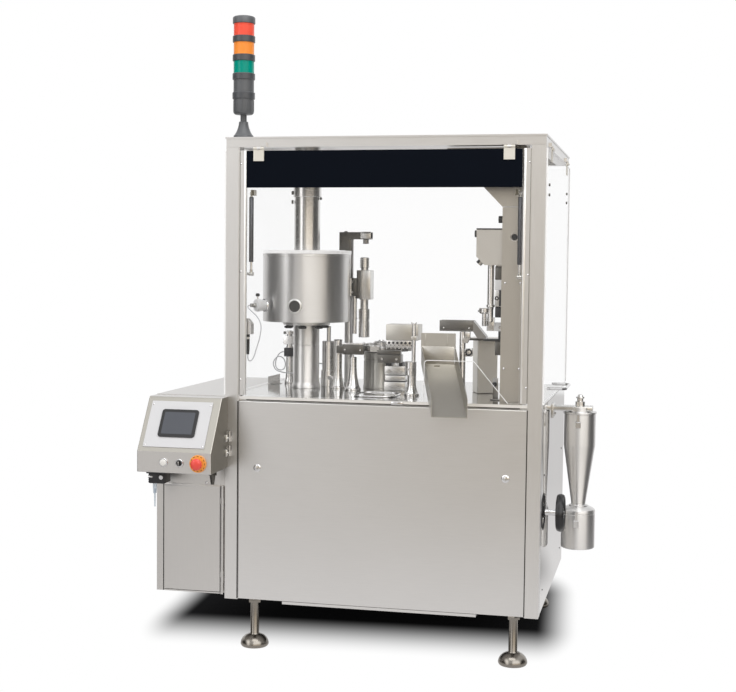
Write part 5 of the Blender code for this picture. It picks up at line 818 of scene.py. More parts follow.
start = bmesh.new()
spin(start, [(0.0, 0.0088), (0.006, 0.0087), (0.01, 0.008), (0.0115, 0.0066), (0.0115, -0.012), (0.0, -0.012)],
     START, FRONT_OUT, 40)
stands_for(make_mesh("start_button_cap", start, plain("moulded_white_abs", "#eceae6", 0.28), "start_button_body"),
           "start_button")

key = bmesh.new()
spin(key, [(0.0, 0.005), (0.006, 0.005), (0.0066, 0.0062), (0.0088, 0.0062), (0.0098, 0.005), (0.0098, -0.015),
           (0.0, -0.015)], KEY, FRONT_OUT, 8)
slab(key, at(-0.6529, -0.193, 0.6735), at(-0.6501, -0.184, 0.6865), 0.0008, paint=1)
stands_for(make_mesh("key_switch_insert", key, [black_frame, plating], "key_switch_body"), "key_switch")

disc = bmesh.new()
spin(disc, [(0.0098, 0.0046), (0.029, 0.0044), (0.0302, 0.0036), (0.0305, 0.002), (0.0305, 0.0), (0.0098, 0.0)],
     STOP, FRONT_OUT, 64)
DISC_TICKS = 12
for index in range(DISC_TICKS):
    angle = 2 * pi * index / DISC_TICKS
    out = Vector((cos(angle), 0.0, sin(angle)))
    across = Vector((-sin(angle), 0.0, cos(angle)))
    spot = STOP + FRONT_OUT * 0.0046 + out * 0.0255
    tick = [spot + across * 0.0032 + out * 0.0008, spot - across * 0.0032 + out * 0.0008,
            spot - across * 0.0032 - out * 0.0008, spot + across * 0.0032 - out * 0.0008]
    corners = [disc.verts.new(point + FRONT_OUT * lift) for lift in (0.0, 0.00025) for point in tick]
    for loop in ((4, 5, 6, 7), (0, 1, 5, 4), (1, 2, 6, 5), (2, 3, 7, 6), (3, 0, 4, 7), (3, 2, 1, 0)):
        disc.faces.new([corners[spot] for spot in loop]).material_index = 1
make_mesh("stop_disc", disc, [plain("moulded_yellow_abs", "#f7a545", 0.42), black_frame], "console_body")

stop = bmesh.new()
spin(stop, [(0.0, 0.03), (0.007, 0.0297), (0.012, 0.0287), (0.016, 0.0268), (0.0185, 0.0243), (0.0198, 0.0212),
            (0.02, 0.019), (0.0195, 0.0165), (0.017, 0.014), (0.013, 0.012), (0.009, 0.0112), (0.009, -0.012),
            (0.0, -0.012)], STOP, FRONT_OUT, 48)
stands_for(make_mesh("stop_mushroom", stop, plain("moulded_red_abs", "#ee5248", 0.26), "estop_body"), "estop_button")

# Filter: a black block with a ribbed body, coarse and matt from the glass in the nylon, and a
# clear moulded bowl with a drain tube, bluish where it is thick.
black_casting = plain("moulded_glass_filled_nylon", "#26262a", 0.44, grain_mm=0.8, dimple=0.05)
bowl_plastic = acrylic("moulded_clear_polycarbonate", "#c8d6e4", 0.55, 0.12)
filter_block = bmesh.new()
slab(filter_block, at(-0.8, -0.11, 0.6277), at(-0.728, -0.03, 0.6437), 0.0022)
slab(filter_block, at(-0.796, -0.1, 0.592), at(-0.736, -0.04, 0.6297), 0.004)
for index in range(4):
    slab(filter_block, at(-0.7965, -0.099, 0.596 + index * 0.0075), at(-0.7355, -0.041, 0.599 + index * 0.0075),
         0.001)
bar(filter_block, at(-0.783, -0.07, 0.594), at(-0.783, -0.07, 0.554), 0.008, 0.006, paint=1)
bar(filter_block, at(-0.783, -0.07, 0.57), at(-0.783, -0.07, 0.5062), 0.0035, 0.0025, paint=1)
stands_for(make_mesh("air_filter_ribbed", filter_block, [black_casting, bowl_plastic], "console_body"),
           "air_regulator")

# The dome screw on the electrics cabinet, the console's cast hinge leaves (pale and softly
# shiny), the folded cover along the door's hinge with a line of painted shade under the door,
# and the gap on its other side, painted dark as shade.
door_lock = bmesh.new()
spin(door_lock, [(0.0, 0.0042), (0.0026, 0.004), (0.0042, 0.0028), (0.005, 0.001), (0.0052, 0.0), (0.0, 0.0)],
     at(-0.617, 0.0, 0.588), FRONT_OUT, 32)
make_mesh("electrics_dome_screw", door_lock, plating)
leaves = bmesh.new()
for low in (0.738, 0.687):
    slab(leaves, at(-0.5395, -0.036, low), at(-0.5325, -0.02, low + 0.024), 0.0014)
    screw(leaves, at(-0.5325, -0.028, low + 0.012), (1, 0, 0), 0.004)
make_mesh("console_hinge_leaves", leaves, steel("cast_304_hinge", "#e6e5e2", 0.3, 1.0, "Z"), "console_body")
cover = bmesh.new()
prism(cover, [(-0.569, -0.0003), (-0.56, -0.0081), (-0.5535, -0.0081), (-0.5535, -0.007), (-0.556, -0.0003)], 0.1955,
      0.579, at)
slab(cover, at(-0.775, -0.001, 0.57), at(-0.557, -0.0002, 0.581), 0.0003)
slab(cover, at(-0.7735, -0.0008, 0.2), at(-0.565, 0.0002, 0.2016), 0.0002, paint=1)
make_mesh("door_hinge_cover", cover, [console_steel, gap_painted_shade], "electrics_door_body")
door_gap = bmesh.new()
slab(door_gap, at(-0.779, -0.0004, 0.196), at(-0.7762, 0.002, 0.6), 0.0002)
make_mesh("door_shadow_gap", door_gap, gap_painted_shade)
silver = bmesh.new()
slab(silver, at(-0.796, -0.1012, 0.613), at(-0.78, -0.1, 0.618), 0.0005)
slab(silver, at(-0.794, -0.1112, 0.633), at(-0.776, -0.11, 0.639), 0.0005)
bar(silver, at(-0.748, -0.1, 0.615), at(-0.748, -0.105, 0.615), 0.0075)
bar(silver, at(-0.728, -0.07, 0.636), at(-0.718, -0.07, 0.636), 0.005)
make_mesh("air_filter_labels", silver, plating, "console_body")


# Powder hopper
# A polished drum on a column that also carries the roof. White lid in two halves, a sight
# glass in front, and a capacitive level sensor clamped to a nozzle on its left side.

# Turned: fine rings round the axis draw each highlight out into an upright band. Buffing
# makes the bands narrower and brighter.
turned_fine = steel("turned_304_fine", "#dddcdb", 0.4, 0.7, "XY", uneven=0.02, anisotropy=0.9)
turned_bright = steel("turned_and_buffed_304", "#dfdedd", 0.26, 0.9, "XY", uneven=0.02, anisotropy=0.8)
HOPPER = at(-0.37, 0.407, 0.0)

column = bmesh.new()
spin(column, [(0.0, 1.7847), (0.0485, 1.7847), (0.0485, 1.6455), (0.0505, 1.6452), (0.0525, 1.6435), (0.0525, 1.607),
              (0.0505, 1.6052), (0.0485, 1.605), (0.0485, 1.1426), (0.087, 1.1425), (0.0885, 1.1412),
              (0.0885, 1.1326), (0.087, 1.1311), (0.0487, 1.131), (0.0485, 1.0612), (0.047, 1.06), (0.047, 1.057),
              (0.0485, 1.0558), (0.0485, 0.92), (0.0492, 0.916), (0.0515, 0.91), (0.0535, 0.9065), (0.0535, 0.8965),
              (0.0, 0.8965)], HOPPER, sides=96)
hopper_column = make_mesh("hopper_column_turned", column, [turned_fine, turned_bright])
DRUM_MIDDLE = 1.2
for polygon in hopper_column.data.polygons:
    if polygon.center.z > DRUM_MIDDLE:
        polygon.material_index = 1
stands_for(hopper_column, "hopper_column")
# Column bolts: dark grey and half matt, as they come from the oxide bath.
column_bolts = bmesh.new()
for degrees, height, radius in ((195, 1.621, 0.007), (195, 1.587, 0.007), (353, 1.6, 0.005)):
    out = Vector((cos(radians(degrees)), sin(radians(degrees)), 0.0))
    screw(column_bolts, HOPPER + out * 0.0515 + Vector((0, 0, height)), out, radius)
make_mesh("hopper_column_bolts", column_bolts, steel("black_oxide_screw", "#6d6c68", 0.3, 1.0, "Z"))

drum = bmesh.new()
spin(drum, [(0.163, 1.395), (0.1615, 1.3952), (0.161, 1.394), (0.161, 1.148), (0.051, 1.1465), (0.0505, 1.184),
            (0.049, 1.184), (0.0488, 1.144), (0.16, 1.144), (0.1622, 1.1447), (0.163, 1.147), (0.163, 1.384),
            (0.1642, 1.385), (0.1642, 1.3945)], HOPPER, sides=128)
stands_for(make_mesh("hopper_drum_spun", drum, turned_fine, smooth=50), "hopper_drum")

sight = bmesh.new()
SIGHT = at(-0.37, 0.244, 1.204)
spin(sight, [(0.0205, 0.004), (0.0212, 0.005), (0.0236, 0.005), (0.025, 0.0042), (0.0264, 0.0026), (0.0268, 0.001),
             (0.0268, -0.003), (0.0205, -0.003)], SIGHT, FRONT_OUT, 64)
spin(sight, [(0.0, 0.0034), (0.0208, 0.0034), (0.0208, -0.002), (0.0, -0.002)], SIGHT, FRONT_OUT, 64, paint=1)
# Toughened glass, smooth; its dark colour is painted shade from the unlit inside of the drum.
sight_glass = plain("toughened_sight_glass_painted_shade", "#4c4b49", 0.3, uneven=0.02, specular=0.2)
make_mesh("hopper_sight_glass", sight, [bright_strip_painted_highlight, sight_glass])

under_knobs = bmesh.new()
for degrees in (218, 273, 325, 30, 140):
    out = Vector((cos(radians(degrees)), sin(radians(degrees)), 0.0))
    spin(under_knobs, [(0.0, 0.0), (0.008, 0.0), (0.0095, -0.002), (0.015, -0.0035), (0.0165, -0.006),
                       (0.0155, -0.0105), (0.011, -0.0125),
                       (0.0, -0.013)], HOPPER + out * 0.072 + Vector((0, 0, 1.1308)), sides=24)
make_mesh("drum_clamp_knobs", under_knobs, black_frame)

# Machined acetal: white and softly shiny, with a faint painted glow that lightens it.
lid_white_painted_glow = plain("machined_white_acetal_painted_glow", "#f2f2f3", 0.32)
shader = lid_white_painted_glow.node_tree.nodes["Principled BSDF"]
shader.inputs["Emission Color"].default_value = linear("#ffffff")
shader.inputs["Emission Strength"].default_value = 0.32
dress(lid_white_painted_glow, "hopper_lid", "hopper_flap")
break_edges(0.002, "hopper_lid", "hopper_flap")

# Level sensor: chrome clamp ring, white moulded body, chrome band, tail gland and a knob.
TOWARD = Vector((cos(radians(225)), sin(radians(225)), 0.0))
SENSOR = at(-0.37, 0.407, 1.205)
white_moulding = plain("moulded_white_pbt", "#e9e9ea", 0.34)
sensor = bmesh.new()
spin(sensor, [(0.0, 0.1713), (0.0215, 0.1713), (0.024, 0.1719), (0.0245, 0.173), (0.0245, 0.178), (0.0236, 0.1793),
              (0.02, 0.1795), (0.0, 0.1795)], SENSOR, TOWARD, 48)
spin(sensor, [(0.0, 0.179), (0.0192, 0.179), (0.0196, 0.18), (0.02, 0.185), (0.02, 0.198), (0.0, 0.198)],
     SENSOR, TOWARD, 48, paint=1)
spin(sensor, [(0.0, 0.1975), (0.0215, 0.1975), (0.023, 0.199), (0.023, 0.211), (0.022, 0.2133), (0.018, 0.214),
              (0.0, 0.2142)], SENSOR, TOWARD, 48, paint=1)
spin(sensor, [(0.0, 0.213), (0.0085, 0.213), (0.0085, 0.2215), (0.007, 0.2225), (0.007, 0.234), (0.006, 0.235),
              (0.0, 0.235)], SENSOR, TOWARD, 32, paint=2)
knob = SENSOR + TOWARD * 0.2063
bar(sensor, knob + Vector((0, 0, 0.018)), knob + Vector((0, 0, 0.038)), 0.003)
spin(sensor, [(0.0, 0.044), (0.0045, 0.0437), (0.0068, 0.042), (0.0075, 0.04), (0.0075, 0.0345), (0.0055, 0.0325),
              (0.0, 0.032)], knob, sides=24, paint=3)
stands_for(make_mesh("level_sensor_body", sensor, [plating, white_moulding, fitting, black_frame]),
           "level_sensor")

# The junction box on the post: its black gland nut over the plug.
gland = bmesh.new()
spin(gland, [(0.0066, 1.1108), (0.0078, 1.11), (0.0078, 1.1015), (0.0066, 1.1008)], at(-0.479, 0.032, 0.0), sides=6)
spin(gland, [(0.005, 1.096), (0.0062, 1.095), (0.006, 1.06), (0.0048, 1.043), (0.0034, 1.0402), (0.0033, 1.05),
             (0.004, 1.09)], at(-0.479, 0.032, 0.0), sides=24)
make_mesh("junction_gland", gland, black_frame)


def smooth_points(points, spacing):
    """Points at an even spacing along a smooth curve through the route's own points."""
    route = [Vector(point) for point in points]
    route = [2 * route[0] - route[1]] + route + [2 * route[-1] - route[-2]]
    fine = []
    for before, here, there, after in zip(route, route[1:], route[2:], route[3:]):
        count = max(2, round((there - here).length / spacing))
        for index in range(count):
            t = index / count
            fine.append(0.5 * (2 * here + (there - before) * t + (2 * before - 5 * here + 4 * there - after) * t ** 2
                               + (3 * here - before - 3 * there + after) * t ** 3))
    fine.append(route[-2])
    return fine


# Cable and hose: pale grey, even and softly shiny, as extruded.
pvc_sheath = plain("extruded_grey_pvc", "#c9cacd", 0.42, grain_mm=0.6)
CABLE_ROUTE = [
    (-0.5372, 0.2398, 1.205), (-0.5415, 0.2355, 1.2042), (-0.5425, 0.227, 1.2), (-0.5335, 0.215, 1.193),
    (-0.515, 0.201, 1.181), (-0.49, 0.183, 1.162), (-0.47, 0.155, 1.1345), (-0.463, 0.12, 1.096),
    (-0.4645, 0.088, 1.06), (-0.467, 0.07, 1.035), (-0.4705, 0.057, 1.021), (-0.4745, 0.045, 1.016),
    (-0.4775, 0.036, 1.02), (-0.479, 0.032, 1.029), (-0.479, 0.032, 1.0397)]
cable_path = smooth_points([at(*point) for point in CABLE_ROUTE], 0.006)
sensor_cable = wire("sensor_cable_sheathed", cable_path, 0.0018, pvc_sheath)
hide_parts("sensor_cable")


# Valve post
# A buffed stainless post with a bell foot, screwed to the worktop. A bracket clamped on it
# carries a black valve, from which the air hose runs in two loops.

valve = bmesh.new()
VALVE = at(-0.478, 0.56, 0.0)
spin(valve, [(0.0, 1.1), (0.0108, 1.1), (0.012, 1.0988), (0.012, 1.04), (0.0138, 1.039), (0.014, 1.037),
             (0.014, 0.9463), (0.0144, 0.935), (0.0158, 0.92), (0.0178, 0.91), (0.02, 0.9063), (0.02, 0.8963),
             (0.0, 0.8963)], VALVE, sides=48)
spin(valve, [(0.0, 1.098), (0.0245, 1.098), (0.026, 1.0968), (0.026, 1.0872), (0.0245, 1.086), (0.0, 1.086)],
     VALVE, sides=48)
slab(valve, at(-0.5, 0.546, 1.046), at(-0.448, 0.574, 1.08), 0.0015)
slab(valve, at(-0.496, 0.54, 1.0), at(-0.46, 0.576, 1.034), 0.0025, paint=1)
for height in (1.055, 1.071):
    screw(valve, at(-0.456, 0.546, height), FRONT_OUT, 0.0034)
stands_for(make_mesh("valve_post_turned", valve, [turned_bright, black_casting]), "valve_post")
HOSE_ROUTE = [
    (-0.4966, 0.556, 1.017), (-0.506, 0.556, 1.017), (-0.52, 0.55, 1.007), (-0.529, 0.542, 0.98),
    (-0.524, 0.536, 0.956), (-0.506, 0.533, 0.948), (-0.49, 0.529, 0.956), (-0.485, 0.525, 0.975),
    (-0.492, 0.521, 0.994), (-0.508, 0.518, 1.002), (-0.524, 0.516, 0.992), (-0.53, 0.514, 0.972),
    (-0.52, 0.511, 0.952), (-0.5, 0.507, 0.944), (-0.47, 0.503, 0.94), (-0.43, 0.499, 0.942), (-0.38, 0.493, 0.958),
    (-0.342, 0.482, 0.98), (-0.328, 0.482, 0.98)]
hose_path = smooth_points([at(*point) for point in HOSE_ROUTE], 0.006)
hose = wire("air_hose_extruded", hose_path, 0.002, pvc_sheath)
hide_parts("air_hose")


# Dosing bridge
# Two turned and buffed pillars with bell feet that carry blackened blocks, and the round drive
# housing behind them, all screwed to the worktop.

DECK = 0.8963


def pillar(shape, spot, top, shaft, foot, flare, paint=0):
    """A turned pillar whose foot swells like a bell."""
    profile = [(0.0, top), (shaft - 0.0015, top), (shaft, top - 0.0015)]
    for step in range(9):
        part = step / 8
        profile.append((shaft + (foot - 0.003 - shaft) * part ** 2.2, DECK + flare - (flare - 0.008) * part))
    profile += [(foot - 0.0005, DECK + 0.006), (foot, DECK + 0.004), (foot, DECK), (0.0, DECK)]
    spin(shape, profile, spot, sides=56, paint=paint)


# Ground and lapped: pale, with a near-sharp gloss. Blackened: the same grain, much darker.
ground_block = steel("ground_and_lapped_304", "#cfcecc", 0.24, 1.0, "X")
dark_block = steel("blackened_ground_steel", "#666460", 0.32, 1.0, "X")
bridge = bmesh.new()
pillar(bridge, at(-0.249, 0.415, 0.0), 1.076, 0.0155, 0.027, 0.075)
pillar(bridge, at(-0.178, 0.355, 0.0), 1.018, 0.014, 0.03, 0.095)
bar(bridge, at(-0.178, 0.355, 1.0175), at(-0.178, 0.355, 1.025), 0.0042)
slab(bridge, at(-0.216, 0.345, 1.027), at(-0.138, 0.369, 1.063), 0.0015, paint=1)
slab(bridge, at(-0.243, 0.362, 1.03), at(-0.214, 0.42, 1.056), 0.0015, paint=1)
slab(bridge, at(-0.218, 0.343, 1.0635), at(-0.14, 0.371, 1.069), 0.001)
bar(bridge, at(-0.262, 0.42, 0.93), at(-0.3, 0.47, 0.93), 0.01)
spin(bridge, [(0.0, 1.068), (0.0235, 1.068), (0.025, 1.0668), (0.025, 0.958), (0.029, 0.9572), (0.029, DECK),
              (0.0, DECK)], at(-0.302, 0.48, 0.0), sides=48)
bar(bridge, at(-0.302, 0.48, 1.066), at(-0.302, 0.48, 1.124), 0.008)
for x in (-0.206, -0.148):
    screw(bridge, at(x, 0.345, 1.045), FRONT_OUT, 0.0036)
stands_for(make_mesh("dosing_bridge_buffed", bridge, [turned_bright, dark_block]), "dosing_bridge")
bridge_cups = bmesh.new()
spin(bridge_cups, [(0.0, 1.079), (0.003, 1.0785), (0.012, 1.078), (0.015, 1.0775), (0.016, 1.0745), (0.0, 1.0742)],
     at(-0.249, 0.415, 0.0), sides=40)
make_mesh("pillar_dark_cap", bridge_cups, dark_block)


# Dosing column and head
# A ground stainless column with a blackened arm clamped on top, screwed to the worktop, and
# the head that slides on it: machined blocks that carry a turned quill.

column = bmesh.new()
spin(column, [(0.0, 1.4625), (0.0165, 1.4625), (0.0165, 0.909), (0.0292, 0.9085), (0.03, 0.907), (0.03, DECK),
              (0.0, DECK)], at(-0.242, 0.553, 0.0), sides=64)
slab(column, at(-0.277, 0.529, 1.411), at(-0.232, 0.573, 1.48), 0.0018, paint=1)
slab(column, at(-0.242, 0.519, 1.453), at(-0.152, 0.555, 1.48), 0.0016, paint=1)
slab(column, at(-0.192, 0.517, 1.4555), at(-0.152, 0.555, 1.4815), 0.0016, paint=2)
for index in range(4):
    spin(column, [(0.0, 0.0), (0.0105, 0.0), (0.0125, -0.0022), (0.0105, -0.0044), (0.0, -0.0044)],
         at(-0.174, 0.535, 1.454 - index * 0.0046), sides=32, paint=2)
dome(column, at(-0.256, 0.55, 1.48), (0, 0, 1), 0.009, paint=1)
stands_for(make_mesh("dosing_column_ground", column, [turned_fine, dark_block, ground_block]), "dosing_column")

head = bmesh.new()
slab(head, at(-0.1915, 0.505, 1.2255), at(-0.149, 0.565, 1.3365), 0.0022, paint=1)
slab(head, at(-0.203, 0.509, 1.229), at(-0.1915, 0.561, 1.336), 0.0015, paint=2)
slab(head, at(-0.244, 0.535, 1.238), at(-0.203, 0.571, 1.306), 0.0015, paint=2)
bar(head, at(-0.214, 0.528, 1.095), at(-0.214, 0.528, 1.238), 0.009)
bar(head, at(-0.214, 0.528, 1.15), at(-0.214, 0.528, 1.156), 0.0108)
spin(head, [(0.0168, 1.306), (0.0235, 1.306), (0.0245, 1.305), (0.0245, 1.239), (0.0235, 1.238), (0.0168, 1.238)],
     at(-0.242, 0.553, 0.0), sides=56)
spin(head, [(0.0, 1.385), (0.014, 1.385), (0.016, 1.384), (0.0175, 1.382), (0.0175, 1.346), (0.015, 1.345),
            (0.015, 1.336), (0.0, 1.335)], at(-0.178, 0.535, 0.0), sides=48)
spin(head, [(0.0, 1.227), (0.016, 1.227), (0.016, 1.1905), (0.0205, 1.19), (0.0215, 1.1888), (0.0215, 1.15),
            (0.02, 1.149), (0.02, 1.143), (0.0215, 1.142), (0.0215, 1.0836), (0.0203, 1.082), (0.0, 1.082)],
     at(-0.178, 0.535, 0.0), sides=48)
for height in (1.252, 1.292):
    screw(head, at(-0.224, 0.535, height), FRONT_OUT, 0.004)
stands_for(make_mesh("dosing_head_ground", head, [turned_bright, ground_block, dark_block], "dosing_head_body"),
           "dosing_head")


# Indexing turret
# A turned housing with a bolted bearing block in front, and a table of twelve bushing
# segments, each held by two screws and bored for a pair of capsule halves.

TURRET = at(-0.1, 0.49, 0.0)
housing = bmesh.new()
spin(housing, [(0.0185, 1.032), (0.064, 1.032), (0.066, 1.0305), (0.066, 1.006), (0.0645, 1.005), (0.0645, 1.0),
               (0.066, 0.999), (0.066, 0.906), (0.067, 0.904), (0.067, DECK), (0.0185, DECK)], TURRET, sides=96)
# The housing is turned too and a little rougher; its darker colour is painted shade under the table.
turned_painted_shade = steel("turned_304_painted_shade", "#a9a7a2", 0.34, 0.7, "XY", uneven=0.02, anisotropy=0.85)
stands_for(make_mesh("turret_housing_turned", housing, [turned_painted_shade, ground_block]), "turret_housing")
bearing = bmesh.new()
slab(bearing, at(-0.066, 0.385, DECK), at(0.013, 0.445, 0.9275), 0.0015)
# The two thin black layers between the blocks are painted shade in the joints.
slab(bearing, at(-0.065, 0.384, 0.9276), at(0.0135, 0.44, 0.9318), 0.0006, paint=2)
slab(bearing, at(-0.062, 0.382, 0.9319), at(0.013, 0.44, 0.9512), 0.0012)
slab(bearing, at(-0.06, 0.386, 0.9513), at(0.01, 0.44, 0.9535), 0.0004, paint=2)
slab(bearing, at(-0.064, 0.38, 0.9536), at(0.013, 0.44, 0.9868), 0.0018)
prism(bearing, [(-0.034, 0.9868), (-0.018, 0.9868), (-0.026, 0.9975)], 0.38, 0.4, lambda u, v, w: at(u, w, v))
slab(bearing, at(-0.083, 0.345, 1.0), at(0.002, 0.395, 1.0295), 0.0015, paint=1)
slab(bearing, at(-0.085, 0.345, 1.03), at(0.002, 0.368, 1.046), 0.001, paint=1)
slab(bearing, at(-0.06, 0.384, 0.9868), at(-0.04, 0.44, 1.0), 0.001, paint=2)
slab(bearing, at(-0.012, 0.384, 0.9868), at(0.002, 0.44, 1.0), 0.001, paint=2)
for x, height, radius in ((-0.047, 0.9668, 0.0066), (-0.0065, 0.966, 0.0066), (-0.034, 0.9405, 0.005),
                          (0.0045, 0.9412, 0.005), (-0.066, 1.014, 0.0048), (-0.012, 1.014, 0.0048)):
    face = 0.382 if height < 0.95 else 0.38 if height < 1.0 else 0.345
    screw(bearing, at(x, face, height), FRONT_OUT, radius)
make_mesh("turret_bearing_block", bearing, [ground_block, dark_block, black_frame])

STATIONS = 12
table = bmesh.new()
spin(table, [(0.0, 1.076), (0.01, 1.076), (0.0115, 1.072), (0.024, 1.0718), (0.027, 1.07), (0.03, 1.066),
             (0.03, 1.052), (0.033, 1.05), (0.09, 1.05), (0.092, 1.0485), (0.092, 1.0375), (0.0905, 1.036),
             (0.0175, 1.036), (0.0175, 0.81), (0.0, 0.81)], TURRET, sides=96)
for station in range(STATIONS):
    angle = 2 * pi * station / STATIONS
    out = Vector((cos(angle), sin(angle), 0.0))
    across = Vector((-sin(angle), cos(angle), 0.0))

    def on_segment(u, v, w, out=out, across=across):
        return TURRET + out * u + across * v + Vector((0, 0, w))

    outline = [(0.083, -0.0185), (0.1165, -0.019), (0.118, -0.0175), (0.118, 0.0175), (0.1165, 0.019),
               (0.083, 0.0185)]
    prism(table, outline, 1.0375, 1.058, on_segment, paint=1)
    for side in (-1, 1):
        bore = on_segment(0.104, side * 0.01, 1.0581)
        spin(table, [(0.0028, 0.0), (0.0034, 0.0012), (0.0048, 0.0012), (0.0054, 0.0), (0.0054, -0.003),
                     (0.0028, -0.003)], bore, sides=16)
        spin(table, [(0.0, -0.001), (0.003, -0.001), (0.003, -0.002), (0.0, -0.002)], bore, sides=16, paint=2)
    screw(table, on_segment(0.089, 0.0, 1.058), (0, 0, 1), 0.0036)
stands_for(make_mesh("turret_table_turned", table, [turned_bright, ground_block, black_frame], "turret_body"),
           "turret_table")


# Ejection hood
# A folded box on a clamped rod above the turret, held by a wing nut. Under it show the
# ejector pins and the perforated strip that guides them.

hood = bmesh.new()
pillar(hood, at(0.0675, 0.227, 0.0), 0.97, 0.016, 0.028, 0.05)
spin(hood, [(0.0, 1.016), (0.019, 1.016), (0.0205, 1.0145), (0.0205, 0.968), (0.019, 0.967), (0.0, 0.967)],
     at(0.0635, 0.227, 0.0), sides=48)
bar(hood, at(0.0735, 0.227, 1.01), at(0.0735, 0.227, 1.142), 0.007)
spin(hood, [(0.0, 1.152), (0.0045, 1.152), (0.006, 1.15), (0.006, 1.138), (0.0, 1.138)], at(0.0735, 0.227, 0.0),
     sides=24)
for side in (-1, 1):
    wing = [(0.0045 * side, 1.144), (0.0085 * side, 1.1475), (0.01 * side, 1.153), (0.009 * side, 1.156),
            (0.006 * side, 1.154), (0.004 * side, 1.149)]
    prism(hood, wing, 0.2255, 0.2285, lambda u, v, w: at(0.0735 + u, w, v))
slab(hood, at(0.0645, 0.219, 1.092), at(0.0825, 0.256, 1.106), 0.0012, paint=1)
screw(hood, at(0.056, 0.2065, 0.99), FRONT_OUT, 0.0036)
HOOD_WALLS = (((-0.033, 0.252, 1.089), (0.082, 0.254, 1.145)), ((-0.033, 0.343, 1.089), (0.082, 0.345, 1.145)),
              ((-0.033, 0.2542, 1.089), (-0.031, 0.3428, 1.145)), ((0.08, 0.2542, 1.089), (0.082, 0.3428, 1.145)),
              ((-0.0308, 0.2542, 1.143), (0.0798, 0.3428, 1.145)))
for low, high in HOOD_WALLS:
    slab(hood, at(*low), at(*high), 0.0006, paint=1)
# Folded sheet as rolled: warm grey, even, with hardly any grain.
sheet_304 = steel("folded_304_sheet", "#c2bfb8", 0.34, 0.5, "X", uneven=0.01, relief=0.004)
stands_for(make_mesh("discharge_hood_folded", hood, [turned_bright, sheet_304]), "discharge_hood")
ejector = bmesh.new()
slab(ejector, at(-0.031, 0.256, 1.066), at(0.06, 0.264, 1.0886), 0.0008)
slab(ejector, at(-0.034, 0.265, 1.062), at(0.062, 0.33, 1.084), 0.0012)
for index in range(6):
    x = -0.022 + index * 0.015
    spin(ejector, [(0.0, 0.0005), (0.0046, 0.0005), (0.005, -0.0006), (0.0, -0.0006)], at(x, 0.256, 1.079), FRONT_OUT,
         20, 1)
    spin(ejector, [(0.0, 0.0009), (0.0018, 0.0009), (0.002, 0.0), (0.0, 0.0)], at(x + 0.006, 0.256, 1.071), FRONT_OUT,
         12, 1)
    bar(ejector, at(x, 0.29, 1.0625), at(x, 0.29, 1.056), 0.003, paint=2)
make_mesh("ejector_strip", ejector, [ground_block, black_frame, plating])


# Discharge chute
# A folded U of 2 mm stainless sheet that runs out through the front guard's cut-out. Its leg
# is bolted to the worktop, and a back plate closes its upper end.

dress(sheet_304, "discharge_chute")
chute_marks = bmesh.new()
slab(chute_marks, at(0.1075, 0.196, 1.011), at(0.2245, 0.1985, 1.0735), 0.0005)
for x in (0.12, 0.198):
    slab(chute_marks, at(x - 0.0012, 0.1978, 1.076), at(x + 0.0012, 0.1992, 1.118), 0.0004)
for x in (0.142, 0.19):
    dome(chute_marks, at(x, 0.176, 0.9033), (0, 0, 1), 0.0044)
make_mesh("chute_back_folds", chute_marks, sheet_304)


# Capsule tray
# A folded stainless channel, coloured darker than its lip, on a turned pillar. Two clamp
# blocks, a knob and an eye bolt hold it.

tray_clip = bmesh.new()
bar(tray_clip, at(0.264, 0.205, 1.098), at(0.264, 0.19, 1.098), 0.0105)
for index in range(6):
    angle = pi * index / 3
    spot = at(0.264 + 0.0095 * cos(angle), 0.1975, 1.098 + 0.0095 * sin(angle))
    bar(tray_clip, spot + Vector((0, 0.0062, 0)), spot - Vector((0, 0.0062, 0)), 0.0024, sides=12)
make_mesh("tray_clamp_knob", tray_clip, ground_block)
EYE_STEPS = 24
eye = [at(0.2735 + 0.01 * cos(2 * pi * step / EYE_STEPS), 0.202, 1.055 + 0.01 * sin(2 * pi * step / EYE_STEPS))
       for step in range(EYE_STEPS)]
wire("tray_eye_bolt", eye, 0.003, black_frame, closed=True)
tray = bmesh.new()
for low, high in (((0.165, 0.225, 1.127), (0.285, 0.275, 1.131)), ((0.165, 0.225, 1.1312), (0.285, 0.229, 1.165)),
                  ((0.165, 0.271, 1.1312), (0.285, 0.275, 1.165))):
    slab(tray, at(*low), at(*high), 0.001)
prism(tray, [(0.2845, 1.127), (0.3, 1.103), (0.33, 1.103), (0.33, 1.11), (0.2845, 1.165)], 0.225, 0.275,
      lambda u, v, w: at(u, w, v), paint=1)
spin(tray, [(0.0, 1.1265), (0.011, 1.1265), (0.011, 0.95), (0.012, 0.935), (0.0145, 0.918), (0.0175, 0.906),
            (0.019, 0.903), (0.019, DECK), (0.0, DECK)], at(0.25, 0.212, 0.0), sides=48, paint=2)
slab(tray, at(0.248, 0.205, 1.04), at(0.284, 0.235, 1.068), 0.0016, paint=3)
slab(tray, at(0.24, 0.205, 1.1), at(0.276, 0.232, 1.1265), 0.0016, paint=3)
for height in (1.047, 1.061):
    screw(tray, at(0.256, 0.205, height), FRONT_OUT, 0.0032, paint=3)
for x in (0.18, 0.27):
    dome(tray, at(x, 0.225, 1.138), FRONT_OUT, 0.0034, paint=3)
# Channel sheet: dark and cloudy. Buffed sheet: paler, with a softer gloss.
dark_channel_sheet = steel("dark_304_channel_sheet", "#716f6b", 0.35, 0.6, "X", clouding=0.08, relief=0.006)
light_sheet = steel("buffed_304_sheet", "#9a9997", 0.3, 0.6, "X", relief=0.006)
stands_for(make_mesh("capsule_tray_folded", tray, [dark_channel_sheet, light_sheet, turned_bright, ground_block]),
           "capsule_tray")


# Feeder pedestal, duct and head
# Folded boxes of ground sheet. The duct also carries the roof and flares to the left at its
# top. The head on it guides a rod with a cup.

